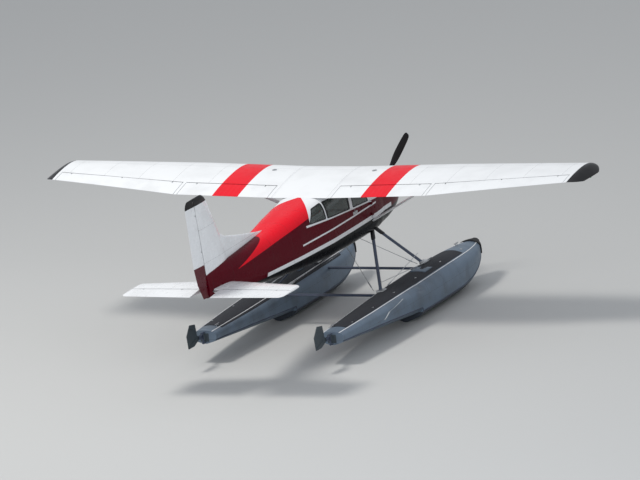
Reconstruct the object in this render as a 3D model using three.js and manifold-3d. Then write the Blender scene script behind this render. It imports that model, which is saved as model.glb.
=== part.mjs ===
// A floatplane: one engine, a high wing braced by a strut on each side, and two straight floats.
// Millimetres. X is starboard, Y is forward, Z is up from the floor that the float keels stand on.
// Along the machine, y = 0 is the trailing edge of the wing at its root.
import * as THREE from 'three';
import { mergeVertices } from 'three/addons/utils/BufferGeometryUtils.js';
import Module from 'manifold-3d';

const wasm = await Module();
wasm.setup();

// Fits
const TOUCH = 0.3; // between two pieces that rest on each other
const SLIVER = 0.02; // edges shorter than this are closed up
const RUN_CLEAR = 9; // between a moving surface and the cove that it turns in
const END_CLEAR = 12; // at the ends of a moving surface

// Wing
const ROOT_X = 565; // where a wing half meets the cabin side
const TAPER_X = 2540; // the chord is constant up to here
const PANEL_END_X = 5230; // the drooped tip starts here
const TIP_X = 5460;
const ROOT_CHORD = 1626;
const TIP_CHORD = 1120;
const NOSE_SWEEP = 128; // how far the leading edge falls back from the taper's start to the tip
const WING_REAR_Z = 2620; // trailing edge at the centre
const INCIDENCE = THREE.MathUtils.degToRad(4);
const WASHOUT = THREE.MathUtils.degToRad(2.6);
const DIHEDRAL = THREE.MathUtils.degToRad(1.6);
const CAMBER = 0.02;
const CAMBER_AT = 0.4;
const THICKNESS = 0.12;
const HINGE_AT = 0.74; // hinge line of flap and aileron, as a part of the chord
const FLAP_X = [640, 2500];
const AILERON_X = [2560, 5170];

// Fuselage
const FIREWALL_Y = 2210;
const CABIN_REAR_Y = -940;
const TAIL_END_Y = -3860;
const WALL = 40; // cabin walls and doors
const GLASS = 8;
const BELLY_Z = 1440;
const FLOOR_DEPTH = 235; // belly skin to cabin floor
const COWL_FRONT_Y = 3265;
const COWL_WALL = 14;

// Engine and propeller
const THRUST_Z = 2050;
const HUB_Y = 3345;
const BLADE_RADIUS = 1040;
const BLADE_COUNT = 2;
const FIRST_BLADE = THREE.MathUtils.degToRad(56); // from starboard, seen from behind
const SPINNER_RADIUS = 165;
const SPINNER_BACK_Y = 3290;
const SPINNER_TIP_Y = 3680;

// Tail
const STABILISER_Z = 1930;
const STABILISER_HALF = 1620;
const ELEVATOR_ROOT_X = 205;
const TAIL_HINGE_Y = -3720; // elevator hinge line
const RUDDER_HINGE = { low: [-3815, 1850], high: [-3985, 3560] }; // y and z on the hinge line
const FIN_TOP_Z = 3560;
const CAP_TOP_Z = 3700;

// Floats
const FLOAT_X = 1290;
const STERN_Y = -1800;

const OFFSET_Y = 80; // moves the middle of the overall length to y = 0

const paint = {
  red: [0x96101a, 0.28, 0.1],
  white: [0xeceff2, 0.3, 0.05],
  black: [0x16181b, 0.45, 0.05],
  rubber: [0x121212, 0.85, 0],
  float: [0x6f7f8c, 0.42, 0.75],
  strut: [0x59646e, 0.4, 0.7],
  steel: [0x8d9297, 0.35, 0.9],
  glass: [0x1a2226, 0.08, 0],
  blade: [0x1b1c1f, 0.5, 0.3],
  cloth: [0x5c3230, 0.9, 0],
  panel: [0x23262a, 0.6, 0.1],
};

const floatplane = new THREE.Group();
floatplane.name = 'floatplane';
floatplane.position.y = OFFSET_Y;

// A closed geometry as a solid that can be joined and cut
function solidOf(geometry) {
  geometry.deleteAttribute('normal');
  geometry.deleteAttribute('uv');
  const merged = mergeVertices(geometry, 1e-3);
  const at = merged.attributes.position.array;
  const corners = new Uint32Array(merged.index.array);
  let volume = 0;
  for (let i = 0; i < corners.length; i += 3) {
    const [a, b, c] = [0, 1, 2].map((k) => new THREE.Vector3().fromArray(at, corners[i + k] * 3));
    volume += a.dot(b.cross(c));
  }
  if (volume < 0) {
    for (let i = 0; i < corners.length; i += 3) {
      [corners[i + 1], corners[i + 2]] = [corners[i + 2], corners[i + 1]];
    }
  }
  const mesh = new wasm.Mesh({ numProp: 3, vertProperties: new Float32Array(at), triVerts: corners });
  return new wasm.Manifold(mesh);
}

// A cylinder whose rings are moved onto sections: lists of [x, y, z] with the same count
function loft(sections) {
  const sides = sections[0].length;
  const spans = sections.length - 1;
  const shape = new THREE.CylinderGeometry(1, 1, spans, sides, spans);
  const at = shape.attributes.position;
  for (let i = 0; i < at.count; i += 1) {
    const section = sections[Math.round(spans / 2 - at.getY(i))];
    const onRim = Math.hypot(at.getX(i), at.getZ(i)) > 0.5;
    const turn = Math.round((Math.atan2(at.getX(i), at.getZ(i)) / (2 * Math.PI)) * sides);
    const place = onRim ? section[(turn + sides) % sides] : middleOf(section);
    at.setXYZ(i, place[0], place[1], place[2]);
  }
  return solidOf(shape);
}

function middleOf(points) {
  const sum = points.reduce((a, p) => [a[0] + p[0], a[1] + p[1], a[2] + p[2]], [0, 0, 0]);
  return sum.map((value) => value / points.length);
}

// A round bar between two points, with a radius at each end
function rod(from, to, radius, endRadius = radius, sides = 12) {
  const a = new THREE.Vector3(...from);
  const b = new THREE.Vector3(...to);
  const along = b.clone().sub(a);
  const shape = new THREE.CylinderGeometry(endRadius, radius, along.length(), sides);
  const upright = new THREE.Vector3(0, 1, 0);
  shape.applyQuaternion(new THREE.Quaternion().setFromUnitVectors(upright, along.normalize()));
  const middle = a.add(b).multiplyScalar(0.5);
  shape.translate(middle.x, middle.y, middle.z);
  return solidOf(shape);
}

// A flat bar with a rounded section that is long in the direction of flight
function streamlined(from, to, chord, depth, sides = 12) {
  const section = (p) => Array.from({ length: sides }, (_, k) => {
    const turn = (k / sides) * 2 * Math.PI;
    return [p[0], p[1] + (chord / 2) * Math.cos(turn), p[2] + (depth / 2) * Math.sin(turn)];
  });
  const upright = (p) => Array.from({ length: sides }, (_, k) => {
    const turn = (k / sides) * 2 * Math.PI;
    return [p[0] + (depth / 2) * Math.sin(turn), p[1] + (chord / 2) * Math.cos(turn), p[2]];
  });
  const leans = Math.abs(to[0] - from[0]) > Math.abs(to[2] - from[2]);
  return leans ? loft([section(from), section(to)]) : loft([upright(from), upright(to)]);
}

function block(x, y, z) {
  const shape = new THREE.BoxGeometry(Math.abs(x[1] - x[0]), Math.abs(y[1] - y[0]), Math.abs(z[1] - z[0]));
  shape.translate((x[0] + x[1]) / 2, (y[0] + y[1]) / 2, (z[0] + z[1]) / 2);
  return solidOf(shape);
}

// A side-view outline of [y, z] points with rounded corners, as a plate between two x planes
function sidePlate(outline, x, corner = 0, steps = 3) {
  const shape = new THREE.Shape();
  const count = outline.length;
  for (let i = 0; i < count; i += 1) {
    const here = new THREE.Vector2(...outline[i]);
    const before = new THREE.Vector2(...outline[(i + count - 1) % count]);
    const after = new THREE.Vector2(...outline[(i + 1) % count]);
    const start = here.clone().add(before.sub(here).setLength(corner));
    const end = here.clone().add(after.sub(here).setLength(corner));
    if (i === 0) shape.moveTo(start.x, start.y);
    else shape.lineTo(start.x, start.y);
    if (corner > 0) shape.quadraticCurveTo(here.x, here.y, end.x, end.y);
  }
  shape.closePath();
  const [low, high] = [Math.min(...x), Math.max(...x)];
  const settings = { depth: high - low, bevelEnabled: false, curveSegments: steps };
  const plate = new THREE.ExtrudeGeometry(shape, settings);
  // The outline's own axes become Y and Z, and the depth becomes X
  plate.applyMatrix4(new THREE.Matrix4().set(0, 0, 1, low, 1, 0, 0, 0, 0, 1, 0, 0, 0, 0, 0, 1));
  return solidOf(plate);
}

function addPiece(name, solid, finish) {
  const parts = solid.decompose();
  if (parts.length !== 1) throw new Error(`${name} is ${parts.length} bodies`);
  const mesh = solid.simplify(SLIVER).getMesh();
  const geometry = new THREE.BufferGeometry();
  geometry.setAttribute('position', new THREE.BufferAttribute(mesh.vertProperties, 3));
  geometry.setIndex(new THREE.BufferAttribute(mesh.triVerts, 1));
  const [color, roughness, metalness] = paint[finish];
  const piece = new THREE.Mesh(geometry, new THREE.MeshStandardMaterial({ color, roughness, metalness }));
  piece.name = name;
  floatplane.add(piece);
}

const mix = THREE.MathUtils.lerp;
const SIDES = [['left', -1], ['right', 1]];
const LEAF = 2200; // long enough to reach past any moving surface
const PIN_RADIUS = 5; // hinge pins
const PIN_SIDES = 10;
const PIN_HOLE = (PIN_RADIUS + TOUCH) / Math.cos(Math.PI / PIN_SIDES);
const NOSE_SIDES = 12;
const LUG_HALF = 6; // half thickness of a hinge lug
const SLOT_HALF = 12;
const LUG_ROOT = 25; // how far a lug reaches into the structure ahead of it

// Wing and tail section: camber line and half thickness at u, as parts of the chord
function airfoil(u, thickness, camber) {
  const half = 5 * thickness
    * (0.2969 * Math.sqrt(u) - 0.126 * u - 0.3516 * u ** 2 + 0.2843 * u ** 3 - 0.1015 * u ** 4);
  const reach = u < CAMBER_AT ? CAMBER_AT : 1 - CAMBER_AT;
  const start = u < CAMBER_AT ? 0 : 1 - 2 * CAMBER_AT;
  const line = (camber / reach ** 2) * (start + 2 * CAMBER_AT * u - u ** 2);
  return { half, line };
}

// Its outline from the trailing edge over the top to the nose and back, as [back, up] from the nose
function airfoilOutline(chord, grow, thickness, camber, count = 9) {
  return Array.from({ length: 2 * count + 1 }, (_, k) => {
    const u = (1 + Math.cos((Math.PI * k) / count)) / 2;
    const { half, line } = airfoil(u, thickness, camber);
    const side = k <= count ? 1 : -1;
    const edge = k === count ? 0 : side;
    return [u * chord + (2 * u - 1) * grow, line * chord + edge * (half * chord + grow)];
  });
}

// Splits a flying surface at its hinge line between two stations. The surface gives its section ring,
// its hinge point with the nose radius, and the direction across it.
function splitAtHinge(surface, stations, spots) {
  const [from, to] = stations;
  const inward = Math.sign(to - from) * END_CLEAR;
  const across = new THREE.Vector3(...surface.across);
  const shift = (point, direction, length) => new THREE.Vector3(...point)
    .addScaledVector(direction, length).toArray();
  const behind = (station) => {
    const { point } = surface.hinge(station);
    const rear = [point[0], point[1] - LEAF, point[2]];
    return [shift(point, across, LEAF), shift(rear, across, LEAF), shift(rear, across, -LEAF),
      shift(point, across, -LEAF)];
  };
  const axis = new THREE.Vector3(...surface.hinge(to).point)
    .sub(new THREE.Vector3(...surface.hinge(from).point)).normalize();
  const ahead = new THREE.Vector3().crossVectors(axis, across).normalize();
  if (ahead.y < 0) ahead.negate();
  const upright = new THREE.Vector3().crossVectors(axis, ahead);
  const between = (a, b) => [a, ...(surface.stops || []).filter((s) => (s - a) * (s - b) < 0)
    .sort((s, t) => (s - t) * Math.sign(b - a)), b];
  const nose = (a, b, grow) => loft(between(a, b).map((station) => {
    const { point, radius } = surface.hinge(station);
    return Array.from({ length: NOSE_SIDES }, (_, k) => {
      const turn = (k / NOSE_SIDES) * 2 * Math.PI;
      const out = shift(point, ahead, (radius + grow) * Math.cos(turn));
      return shift(out, upright, (radius + grow) * Math.sin(turn));
    });
  }));
  const cut = loft([behind(from), behind(to)]).add(nose(from, to, RUN_CLEAR));
  const [start, end] = [from + inward, to - inward];
  let moving = loft([behind(start), behind(end)]).add(nose(start, end, 0));
  moving = moving.intersect(loft(between(start, end).map((station) => surface.ring(station, 0))));
  const [first, last] = [start, end].map((station) => surface.hinge(station).point);
  const lugs = spots.map((spot) => {
    const { radius } = surface.hinge(mix(start, end, spot));
    const point = first.map((value, k) => mix(value, last[k], spot));
    const disc = (half, r, sides) => rod(shift(point, axis, -half), shift(point, axis, half), r, r, sides);
    moving = moving.subtract(disc(SLOT_HALF, radius + RUN_CLEAR + 2, PIN_SIDES));
    moving = moving.add(disc(SLOT_HALF + 3, PIN_RADIUS, PIN_SIDES));
    const eye = Math.min(20, radius * 0.7);
    const arm = [0, radius + RUN_CLEAR + LUG_ROOT].map((length) => {
      const root = shift(point, ahead, length);
      const edge = (a, b) => shift(shift(root, axis, a * LUG_HALF), across, b * eye * 0.7);
      return [edge(1, 1), edge(1, -1), edge(-1, -1), edge(-1, 1)];
    });
    return disc(LUG_HALF, eye, PIN_SIDES).add(loft(arm)).subtract(disc(SLOT_HALF * 2, PIN_HOLE, PIN_SIDES));
  });
  return { cut, moving, lugs };
}

// Wing

function wingAt(x) {
  const out = Math.max(0, (Math.abs(x) - TAPER_X) / (PANEL_END_X - TAPER_X));
  return {
    chord: mix(ROOT_CHORD, TIP_CHORD, out),
    angle: INCIDENCE - WASHOUT * out,
    noseY: ROOT_CHORD * Math.cos(INCIDENCE) - NOSE_SWEEP * out,
    noseZ: WING_REAR_Z + ROOT_CHORD * Math.sin(INCIDENCE)
      + Math.max(0, Math.abs(x) - ROOT_X) * Math.tan(DIHEDRAL),
  };
}

function wingPoint(x, back, up) {
  const { angle, noseY, noseZ } = wingAt(x);
  return [
    x,
    noseY - back * Math.cos(angle) - up * Math.sin(angle),
    noseZ - back * Math.sin(angle) + up * Math.cos(angle),
  ];
}

const wingSurface = {
  across: [0, 0, 1],
  ring: (x, grow = 0) => airfoilOutline(wingAt(x).chord, grow, THICKNESS, CAMBER)
    .map(([back, up]) => wingPoint(x, back, up)),
  hinge: (x) => {
    const { chord } = wingAt(x);
    const { half, line } = airfoil(HINGE_AT, THICKNESS, CAMBER);
    return { point: wingPoint(x, HINGE_AT * chord, line * chord), radius: half * chord * 0.97 };
  },
};

// A wing section drawn in and drooped towards the end of the tip
function tipRing(x) {
  const out = (Math.abs(x) - PANEL_END_X) / (TIP_X - PANEL_END_X);
  const droop = 75 * out ** 2;
  const ring = wingSurface.ring(x);
  const [, midY, midZ] = middleOf(ring);
  const length = 1 - 0.42 * out ** 3;
  const depth = 1 - 0.8 * out ** 2;
  return ring.map(([px, y, z]) => [px, midY + (y - midY) * length, midZ + (z - midZ) * depth - droop]);
}

const roofGrown = loft([-700, -ROOT_X, ROOT_X, 700].map((x) => wingSurface.ring(x, TOUCH)));
addPiece('roof_panel', loft([-ROOT_X, ROOT_X].map((x) => wingSurface.ring(x))), 'white');

for (const [name, side] of SIDES) {
  const root = side * (ROOT_X + TOUCH);
  let wing = loft([root, side * TAPER_X, side * PANEL_END_X].map((x) => wingSurface.ring(x)));
  const flap = splitAtHinge(wingSurface, FLAP_X.map((x) => side * x), [0.12, 0.88]);
  const aileron = splitAtHinge(wingSurface, AILERON_X.map((x) => side * x), [0.08, 0.5, 0.92]);
  for (const part of [flap, aileron]) {
    wing = wing.subtract(part.cut);
    for (const lug of part.lugs) wing = wing.add(lug);
  }
  addPiece(`wing_${name}`, wing, 'white');
  addPiece(`flap_${name}`, flap.moving, 'white');
  addPiece(`aileron_${name}`, aileron.moving, 'white');
  const tip = [PANEL_END_X + TOUCH, 5310, 5390, 5435, TIP_X].map((x) => tipRing(side * x));
  addPiece(`wing_tip_${name}`, loft(tip), 'black');
}

// Fuselage

// Rows: y, half width, belly z, top z, squareness of the section, how much the shoulders narrow
const CABIN = [
  [FIREWALL_Y, 520, 1475, 2330, 4, 0.08],
  [2090, 540, 1455, 2370, 4, 0.08],
  [1840, 560, BELLY_Z, 2575, 4.2, 0.1],
  [1600, 560, BELLY_Z, 2735, 4.5, 0.1],
  [900, 560, BELLY_Z, 2735, 4.5, 0.1],
  [150, 545, 1450, 2640, 4.5, 0.1],
  [-60, 530, 1458, 2618, 4.2, 0.1],
  [CABIN_REAR_Y, 455, 1497, 2530, 3.6, 0.1],
];
const TAIL = [
  [CABIN_REAR_Y - TOUCH, 455, 1497, 2530, 3.6, 0.1],
  [-1600, 375, 1548, 2440, 3.2, 0.08],
  [-2600, 245, 1655, 2372, 2.8, 0.05],
  [-3300, 140, 1748, 2325, 2.6, 0],
  [TAIL_END_Y, 46, 1835, 2285, 2.4, 0],
];
const COWL = [
  [FIREWALL_Y + TOUCH, 520, 1475, 2330, 4, 0.08],
  [2600, 505, 1525, 2315, 3.6, 0.1],
  [2950, 450, 1610, 2280, 3.2, 0.1],
  [3180, 360, 1725, 2235, 3, 0.1],
  [COWL_FRONT_Y, 270, 1820, 2185, 2.6, 0.1],
];

function bodyRing([y, half, belly, top, square, narrow], grow = 0, floor = 0, sides = 28) {
  const low = belly - grow + floor;
  const middle = (top + grow + low) / 2;
  const height = (top + grow - low) / 2;
  const bend = (value) => Math.sign(value) * Math.abs(value) ** (2 / square);
  return Array.from({ length: sides }, (_, k) => {
    const turn = ((k + 0.5) / sides) * 2 * Math.PI;
    const rise = bend(Math.sin(turn));
    const wide = (half + grow) * bend(Math.cos(turn)) * (1 - narrow * Math.max(0, rise));
    return [wide, y, middle + height * rise];
  });
}

// The body between its first and last row, moved out by grow, with its ends moved by reach
function bodySolid(rows, grow, reach = 0, floor = 0) {
  const last = rows.length - 1;
  return loft(rows.map((row, i) => {
    const y = row[0] + (i === 0 ? reach : 0) - (i === last ? reach : 0);
    return bodyRing([y, ...row.slice(1)], grow, floor);
  }));
}

const cabinOuter = bodySolid(CABIN, 0);
const cabinGrown = bodySolid(CABIN, TOUCH);
const cabinRoom = bodySolid(CABIN, -WALL, -WALL, FLOOR_DEPTH - WALL);
const walls = cabinOuter.subtract(cabinRoom).subtract(roofGrown);
const skin = cabinOuter.subtract(bodySolid(CABIN, -GLASS, -GLASS)).subtract(roofGrown);

// Side-view outlines, [y, z]
const SCREEN = [[2160, 2300], [2080, 2235], [1745, 2190], [1500, 2590], [1480, 2900], [2300, 2900]];
const DOOR = [[905, 1672], [1650, 1672], [1650, 2150], [1425, 2572], [905, 2572]];
const WINDOWS = {
  door: [[985, 2182], [1560, 2146], [1375, 2530], [985, 2530]],
  mid: [[50, 2241], [830, 2190], [830, 2530], [50, 2530]],
  aft: [[-560, 2288], [-35, 2249], [-35, 2530], [-330, 2500]],
};
const DOOR_CLEAR = 10;
const DOOR_HINGE = [575, 1645]; // x and y of its upright hinge line
const DOOR_HINGE_Z = [1850, 2070];
const LEAF_REACH = 731; // no part of a door lies farther than this from its hinge line
const HALF_CABIN = 700; // past the side walls
const DOOR_CORNER = 30;
// The door's two arms over and under the body's eye: x of their inner end, length, half height between
const ARM = { inner: 525, length: 45, spread: 40, thick: 12, past: 6 };
const EYE = { inner: 540, half: 26, radius: 11 };

function shrunk(outline, by) {
  const count = outline.length;
  const middle = outline.reduce((a, p) => [a[0] + p[0] / count, a[1] + p[1] / count], [0, 0]);
  const reach = Math.min(...[0, 1].map((k) => Math.max(...outline.map((p) => p[k])) - middle[k]));
  return outline.map((p) => p.map((value, k) => middle[k] + (value - middle[k]) * (1 - by / reach)));
}

let cabin = walls.subtract(sidePlate(SCREEN, [-HALF_CABIN, HALF_CABIN]));
const screen = skin.intersect(sidePlate(shrunk(SCREEN, TOUCH), [-HALF_CABIN, HALF_CABIN]));
addPiece('windshield', screen, 'glass');

for (const [name, side] of SIDES) {
  const span = [side * 200, side * HALF_CABIN];
  const opening = sidePlate(DOOR, span, DOOR_CORNER);
  const leaf = sidePlate(DOOR.map(([y, z]) => [
    y + (y < 1000 ? DOOR_CLEAR : -DOOR_CLEAR),
    z + (z < 1700 ? DOOR_CLEAR : z > 2500 ? -DOOR_CLEAR : 0),
  ]), span, DOOR_CORNER - 5);
  cabin = cabin.subtract(opening);
  const hinge = [side * DOOR_HINGE[0], DOOR_HINGE[1]];
  const sweep = rod([...hinge, DOOR[0][1]], [...hinge, DOOR[3][1]], LEAF_REACH, LEAF_REACH, 120);
  let door = walls.intersect(leaf).intersect(sweep).subtract(sidePlate(WINDOWS.door, span, DOOR_CORNER));
  for (const z of DOOR_HINGE_Z) {
    const [x, y] = hinge;
    const outer = x + side * ARM.past;
    const upright = (half, radius) => rod([x, y, z - half], [x, y, z + half], radius, radius, PIN_SIDES);
    door = door.add(upright(ARM.spread + ARM.thick / 2, PIN_RADIUS));
    for (const end of [-ARM.spread, ARM.spread]) {
      const height = [z + end - ARM.thick / 2, z + end + ARM.thick / 2];
      door = door.add(block([side * ARM.inner, outer], [y - ARM.length, y + 4], height));
    }
    const root = block([side * EYE.inner, outer], [y + 2, y + ARM.length], [z - EYE.half, z + EYE.half]);
    cabin = cabin.add(upright(EYE.half, EYE.radius).add(root).subtract(upright(EYE.half * 2, PIN_HOLE)));
  }
  addPiece(`door_${name}`, door, 'red');
  for (const [place, outline] of Object.entries(WINDOWS)) {
    const glass = skin.intersect(sidePlate(shrunk(outline, TOUCH), span, DOOR_CORNER));
    addPiece(`${place}_window_${name}`, glass, 'glass');
    if (place !== 'door') cabin = cabin.subtract(sidePlate(outline, span, DOOR_CORNER));
  }
}
addPiece('cabin_shell', cabin, 'red');

// Nose

const INLET_X = 205;
const INLET_SIZE = [66, 52]; // half width and half height
const INLET_RISE = 15; // inlets' middle above the thrust line
const NOSE_CUT_Y = [3100, 3400]; // cuts through the front of the cowling run between these
const OUTLET = { x: [-330, 330], y: [FIREWALL_Y, 2440], z: [1425, 1560] }; // cooling air's way out below
const ENGINE = { x: 330, y: [FIREWALL_Y + TOUCH, 2880], z: [1850, 2170] };
const SHAFT_RADIUS = 45;
const PIPE = { low: [250, 2307, 1385], high: [250, 2405, 1880], radius: 34 };

let cowling = bodySolid(COWL, 0).subtract(bodySolid([
  [FIREWALL_Y - 50, ...COWL[0].slice(1)],
  ...COWL.slice(0, -1),
  [COWL_FRONT_Y - COWL_WALL * 2, 290, 1800, 2200, 2.6, 0.1],
], -COWL_WALL));
for (const side of [-1, 1]) {
  const corners = Array.from({ length: 10 }, (_, k) => {
    const turn = (k / 10) * 2 * Math.PI;
    const height = THRUST_Z + INLET_RISE + INLET_SIZE[1] * Math.sin(turn);
    return [side * INLET_X + INLET_SIZE[0] * Math.cos(turn), height];
  });
  cowling = cowling.subtract(loft(NOSE_CUT_Y.map((y) => corners.map(([x, z]) => [x, y, z]))));
}
const shaftHole = NOSE_CUT_Y.map((y) => [0, y, THRUST_Z]);
cowling = cowling.subtract(rod(shaftHole[0], shaftHole[1], SHAFT_RADIUS + 20));
cowling = cowling.subtract(block(OUTLET.x, OUTLET.y, OUTLET.z));
cowling = cowling.subtract(rod(PIPE.high, PIPE.low, PIPE.radius + 8));
addPiece('cowling', cowling, 'red');

const shaft = rod([0, 2800, THRUST_Z], [0, HUB_Y - 50, THRUST_Z], SHAFT_RADIUS, SHAFT_RADIUS, 16);
addPiece('engine_block', block([-ENGINE.x, ENGINE.x], ENGINE.y, ENGINE.z).add(shaft), 'steel');
const engineGrown = block([-ENGINE.x, ENGINE.x], ENGINE.y, [ENGINE.z[0] - TOUCH, ENGINE.z[1]]);
addPiece('exhaust_pipe', rod(PIPE.low, PIPE.high, PIPE.radius).subtract(engineGrown), 'steel');

// Blade stations: part of the radius, chord, thickness, pitch in degrees from the disc
const BLADE = [
  [0.07, 62, 58, 62],
  [0.17, 84, 44, 50],
  [0.45, 172, 24, 30],
  [0.75, 160, 14, 21],
  [0.95, 124, 9, 17],
  [1, 62, 6, 16],
];
const HUB_RADIUS = 78;
const BLADE_CUFF = 48; // radius of the spinner's holes for the blades
const SPINNER_SKIN = 5;
const BACK_PLATE = 6;

function bladeSolid(turn) {
  const out = new THREE.Vector3(Math.cos(turn), 0, Math.sin(turn));
  const around = new THREE.Vector3(-Math.sin(turn), 0, Math.cos(turn));
  return loft(BLADE.map(([part, chord, thick, pitch]) => {
    const lean = THREE.MathUtils.degToRad(pitch);
    return Array.from({ length: 10 }, (_, k) => {
      const angle = (k / 10) * 2 * Math.PI;
      const [a, b] = [(chord / 2) * Math.cos(angle), (thick / 2) * Math.sin(angle)];
      const place = out.clone().multiplyScalar(part * BLADE_RADIUS)
        .addScaledVector(around, a * Math.cos(lean) - b * Math.sin(lean));
      return [place.x, HUB_Y + a * Math.sin(lean) + b * Math.cos(lean), THRUST_Z + place.z];
    });
  }));
}

let propeller = rod([0, HUB_Y - 50 + TOUCH, THRUST_Z], [0, HUB_Y + 60, THRUST_Z], HUB_RADIUS, HUB_RADIUS, 18);
let spinner = [];
for (const [grow, back] of [[0, SPINNER_BACK_Y], [-SPINNER_SKIN, SPINNER_BACK_Y - 1]]) {
  const length = SPINNER_TIP_Y + grow - back;
  const profile = Array.from({ length: 7 }, (_, k) => {
    const part = k / 6;
    return new THREE.Vector2((SPINNER_RADIUS + grow) * Math.sqrt(1 - part ** 1.7), back + part * length);
  });
  const turned = new THREE.LatheGeometry([new THREE.Vector2(0, back), ...profile], 18);
  spinner.push(solidOf(turned.applyMatrix4(new THREE.Matrix4().makeTranslation(0, 0, THRUST_Z))));
}
spinner = spinner[0].subtract(spinner[1]);
for (let k = 0; k < BLADE_COUNT; k += 1) {
  const turn = FIRST_BLADE + (k / BLADE_COUNT) * 2 * Math.PI;
  propeller = propeller.add(bladeSolid(turn));
  const past = SPINNER_RADIUS * 1.6;
  const tip = [past * Math.cos(turn), HUB_Y, THRUST_Z + past * Math.sin(turn)];
  spinner = spinner.subtract(rod([0, HUB_Y, THRUST_Z], tip, BLADE_CUFF, BLADE_CUFF, 14));
}
// The back plate of the spinner sits on the hub
const alongShaft = (from, to, radius, sides) => rod([0, from, THRUST_Z], [0, to, THRUST_Z], radius, radius,
  sides);
const plate = alongShaft(SPINNER_BACK_Y, SPINNER_BACK_Y + BACK_PLATE, SPINNER_RADIUS - 3, 24);
const bore = alongShaft(SPINNER_BACK_Y - 20, SPINNER_BACK_Y + 20, HUB_RADIUS + TOUCH, 18);
addPiece('spinner', spinner.add(plate.subtract(bore)), 'red');
addPiece('propeller', propeller, 'blade');

// Tail

// Rows of the fin: z, leading edge y, trailing edge y
const FIN_ROWS = [
  [RUDDER_HINGE.low[1], -2930, -3990],
  [2150, -2930, -4150],
  [2480, -2966, -4222],
  [3000, -3217, -4255],
  [RUDDER_HINGE.high[1], -3486, -4285],
  [CAP_TOP_Z, -3580, -4270],
];
const TAIL_THICKNESS = 0.085;

function finAt(z) {
  let i = 1;
  while (i < FIN_ROWS.length - 1 && z > FIN_ROWS[i][0]) i += 1;
  const [low, high] = [FIN_ROWS[i - 1], FIN_ROWS[i]];
  const part = (z - low[0]) / (high[0] - low[0]);
  return [mix(low[1], high[1], part), mix(low[2], high[2], part)];
}

const finSurface = {
  across: [1, 0, 0],
  stops: FIN_ROWS.map((row) => row[0]),
  ring: (z, grow = 0) => {
    const [nose, rear] = finAt(z);
    return airfoilOutline(nose - rear, grow, TAIL_THICKNESS, 0, 7).map(([back, up]) => [up, nose - back, z]);
  },
  hinge: (z) => {
    const { low, high } = RUDDER_HINGE;
    const y = mix(low[0], high[0], (z - low[1]) / (high[1] - low[1]));
    const [nose, rear] = finAt(z);
    const chord = nose - rear;
    return { point: [0, y, z], radius: airfoil((nose - y) / chord, TAIL_THICKNESS, 0).half * chord * 0.96 };
  },
};

function stabiliserAt(x) {
  const out = Math.abs(x) / STABILISER_HALF;
  const rounding = Math.max(0, (Math.abs(x) - 1540) / 80) ** 2;
  const rear = -4150 + 55 * out + 90 * rounding;
  return [rear + mix(1080, 790, out) - 170 * rounding, rear, 1 - 0.55 * rounding];
}

const stabiliserSurface = {
  across: [0, 0, 1],
  stops: [-1580, -1540, 1540, 1580],
  ring: (x, grow = 0) => {
    const [nose, rear, depth] = stabiliserAt(x);
    return airfoilOutline(nose - rear, grow, TAIL_THICKNESS, 0, 7)
      .map(([back, up]) => [x, nose - back, STABILISER_Z + up * depth]);
  },
  hinge: (x) => {
    const out = Math.min(1, Math.abs(x) / STABILISER_HALF);
    const chord = mix(1080, 790, out);
    const { half } = airfoil((chord - 4150 + 55 * out - TAIL_HINGE_Y) / chord, TAIL_THICKNESS, 0);
    return { point: [x, TAIL_HINGE_Y, STABILISER_Z], radius: half * chord * 0.93 };
  },
};

const TUBE_RADIUS = 14;
const rudderSplit = splitAtHinge(finSurface, [RUDDER_HINGE.low[1] - END_CLEAR, FIN_TOP_Z + END_CLEAR],
  [0.12, 0.5, 0.9]);
const tailOuter = bodySolid(TAIL, 0);
const tailGrown = bodySolid(TAIL, TOUCH);
const TAIL_SKIN = 14;
const tailRoom = bodySolid([
  [CABIN_REAR_Y + 50, ...TAIL[0].slice(1)],
  ...TAIL.slice(1, -1),
  [-3560, 104, 1790, 2308, 2.5, 0], // the frame that closes the hollow ahead of the rudder
], -TAIL_SKIN);
const tubeLine = (half, radius) => {
  const [from, to] = [-half, half].map((x) => [x, TAIL_HINGE_Y, STABILISER_Z]);
  return rod(from, to, radius, radius, 14);
};
const stabiliserStations = [-STABILISER_HALF, -1580, -1540, 0, 1540, 1580, STABILISER_HALF];
const behindTail = block([-ELEVATOR_ROOT_X, ELEVATOR_ROOT_X], [-LEAF * 3, TAIL_HINGE_Y + TUBE_RADIUS + 8],
  [STABILISER_Z - 200, STABILISER_Z + 200]);
let stabiliser = loft(stabiliserStations.map((x) => stabiliserSurface.ring(x))).subtract(behindTail);
const stabiliserGrown = loft(stabiliserStations.map((x) => stabiliserSurface.ring(x, TOUCH)))
  .subtract(behindTail);
let elevator = tubeLine(ELEVATOR_ROOT_X + 40, TUBE_RADIUS); // joins the two halves through the tail
for (const [, side] of SIDES) {
  const half = splitAtHinge(stabiliserSurface,
    [side * (ELEVATOR_ROOT_X - END_CLEAR), side * (STABILISER_HALF + END_CLEAR)], [0.25, 0.8]);
  stabiliser = stabiliser.subtract(half.cut);
  for (const lug of half.lugs) stabiliser = stabiliser.add(lug);
  elevator = elevator.add(half.moving);
}
addPiece('stabiliser', stabiliser, 'white');
addPiece('elevator', elevator, 'white');

const tailcone = tailOuter.subtract(tailRoom).subtract(stabiliserGrown).subtract(rudderSplit.cut)
  .subtract(tubeLine(ELEVATOR_ROOT_X * 2, TUBE_RADIUS + 6)).add(rudderSplit.lugs[0]);
addPiece('tailcone', tailcone, 'red');

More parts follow.
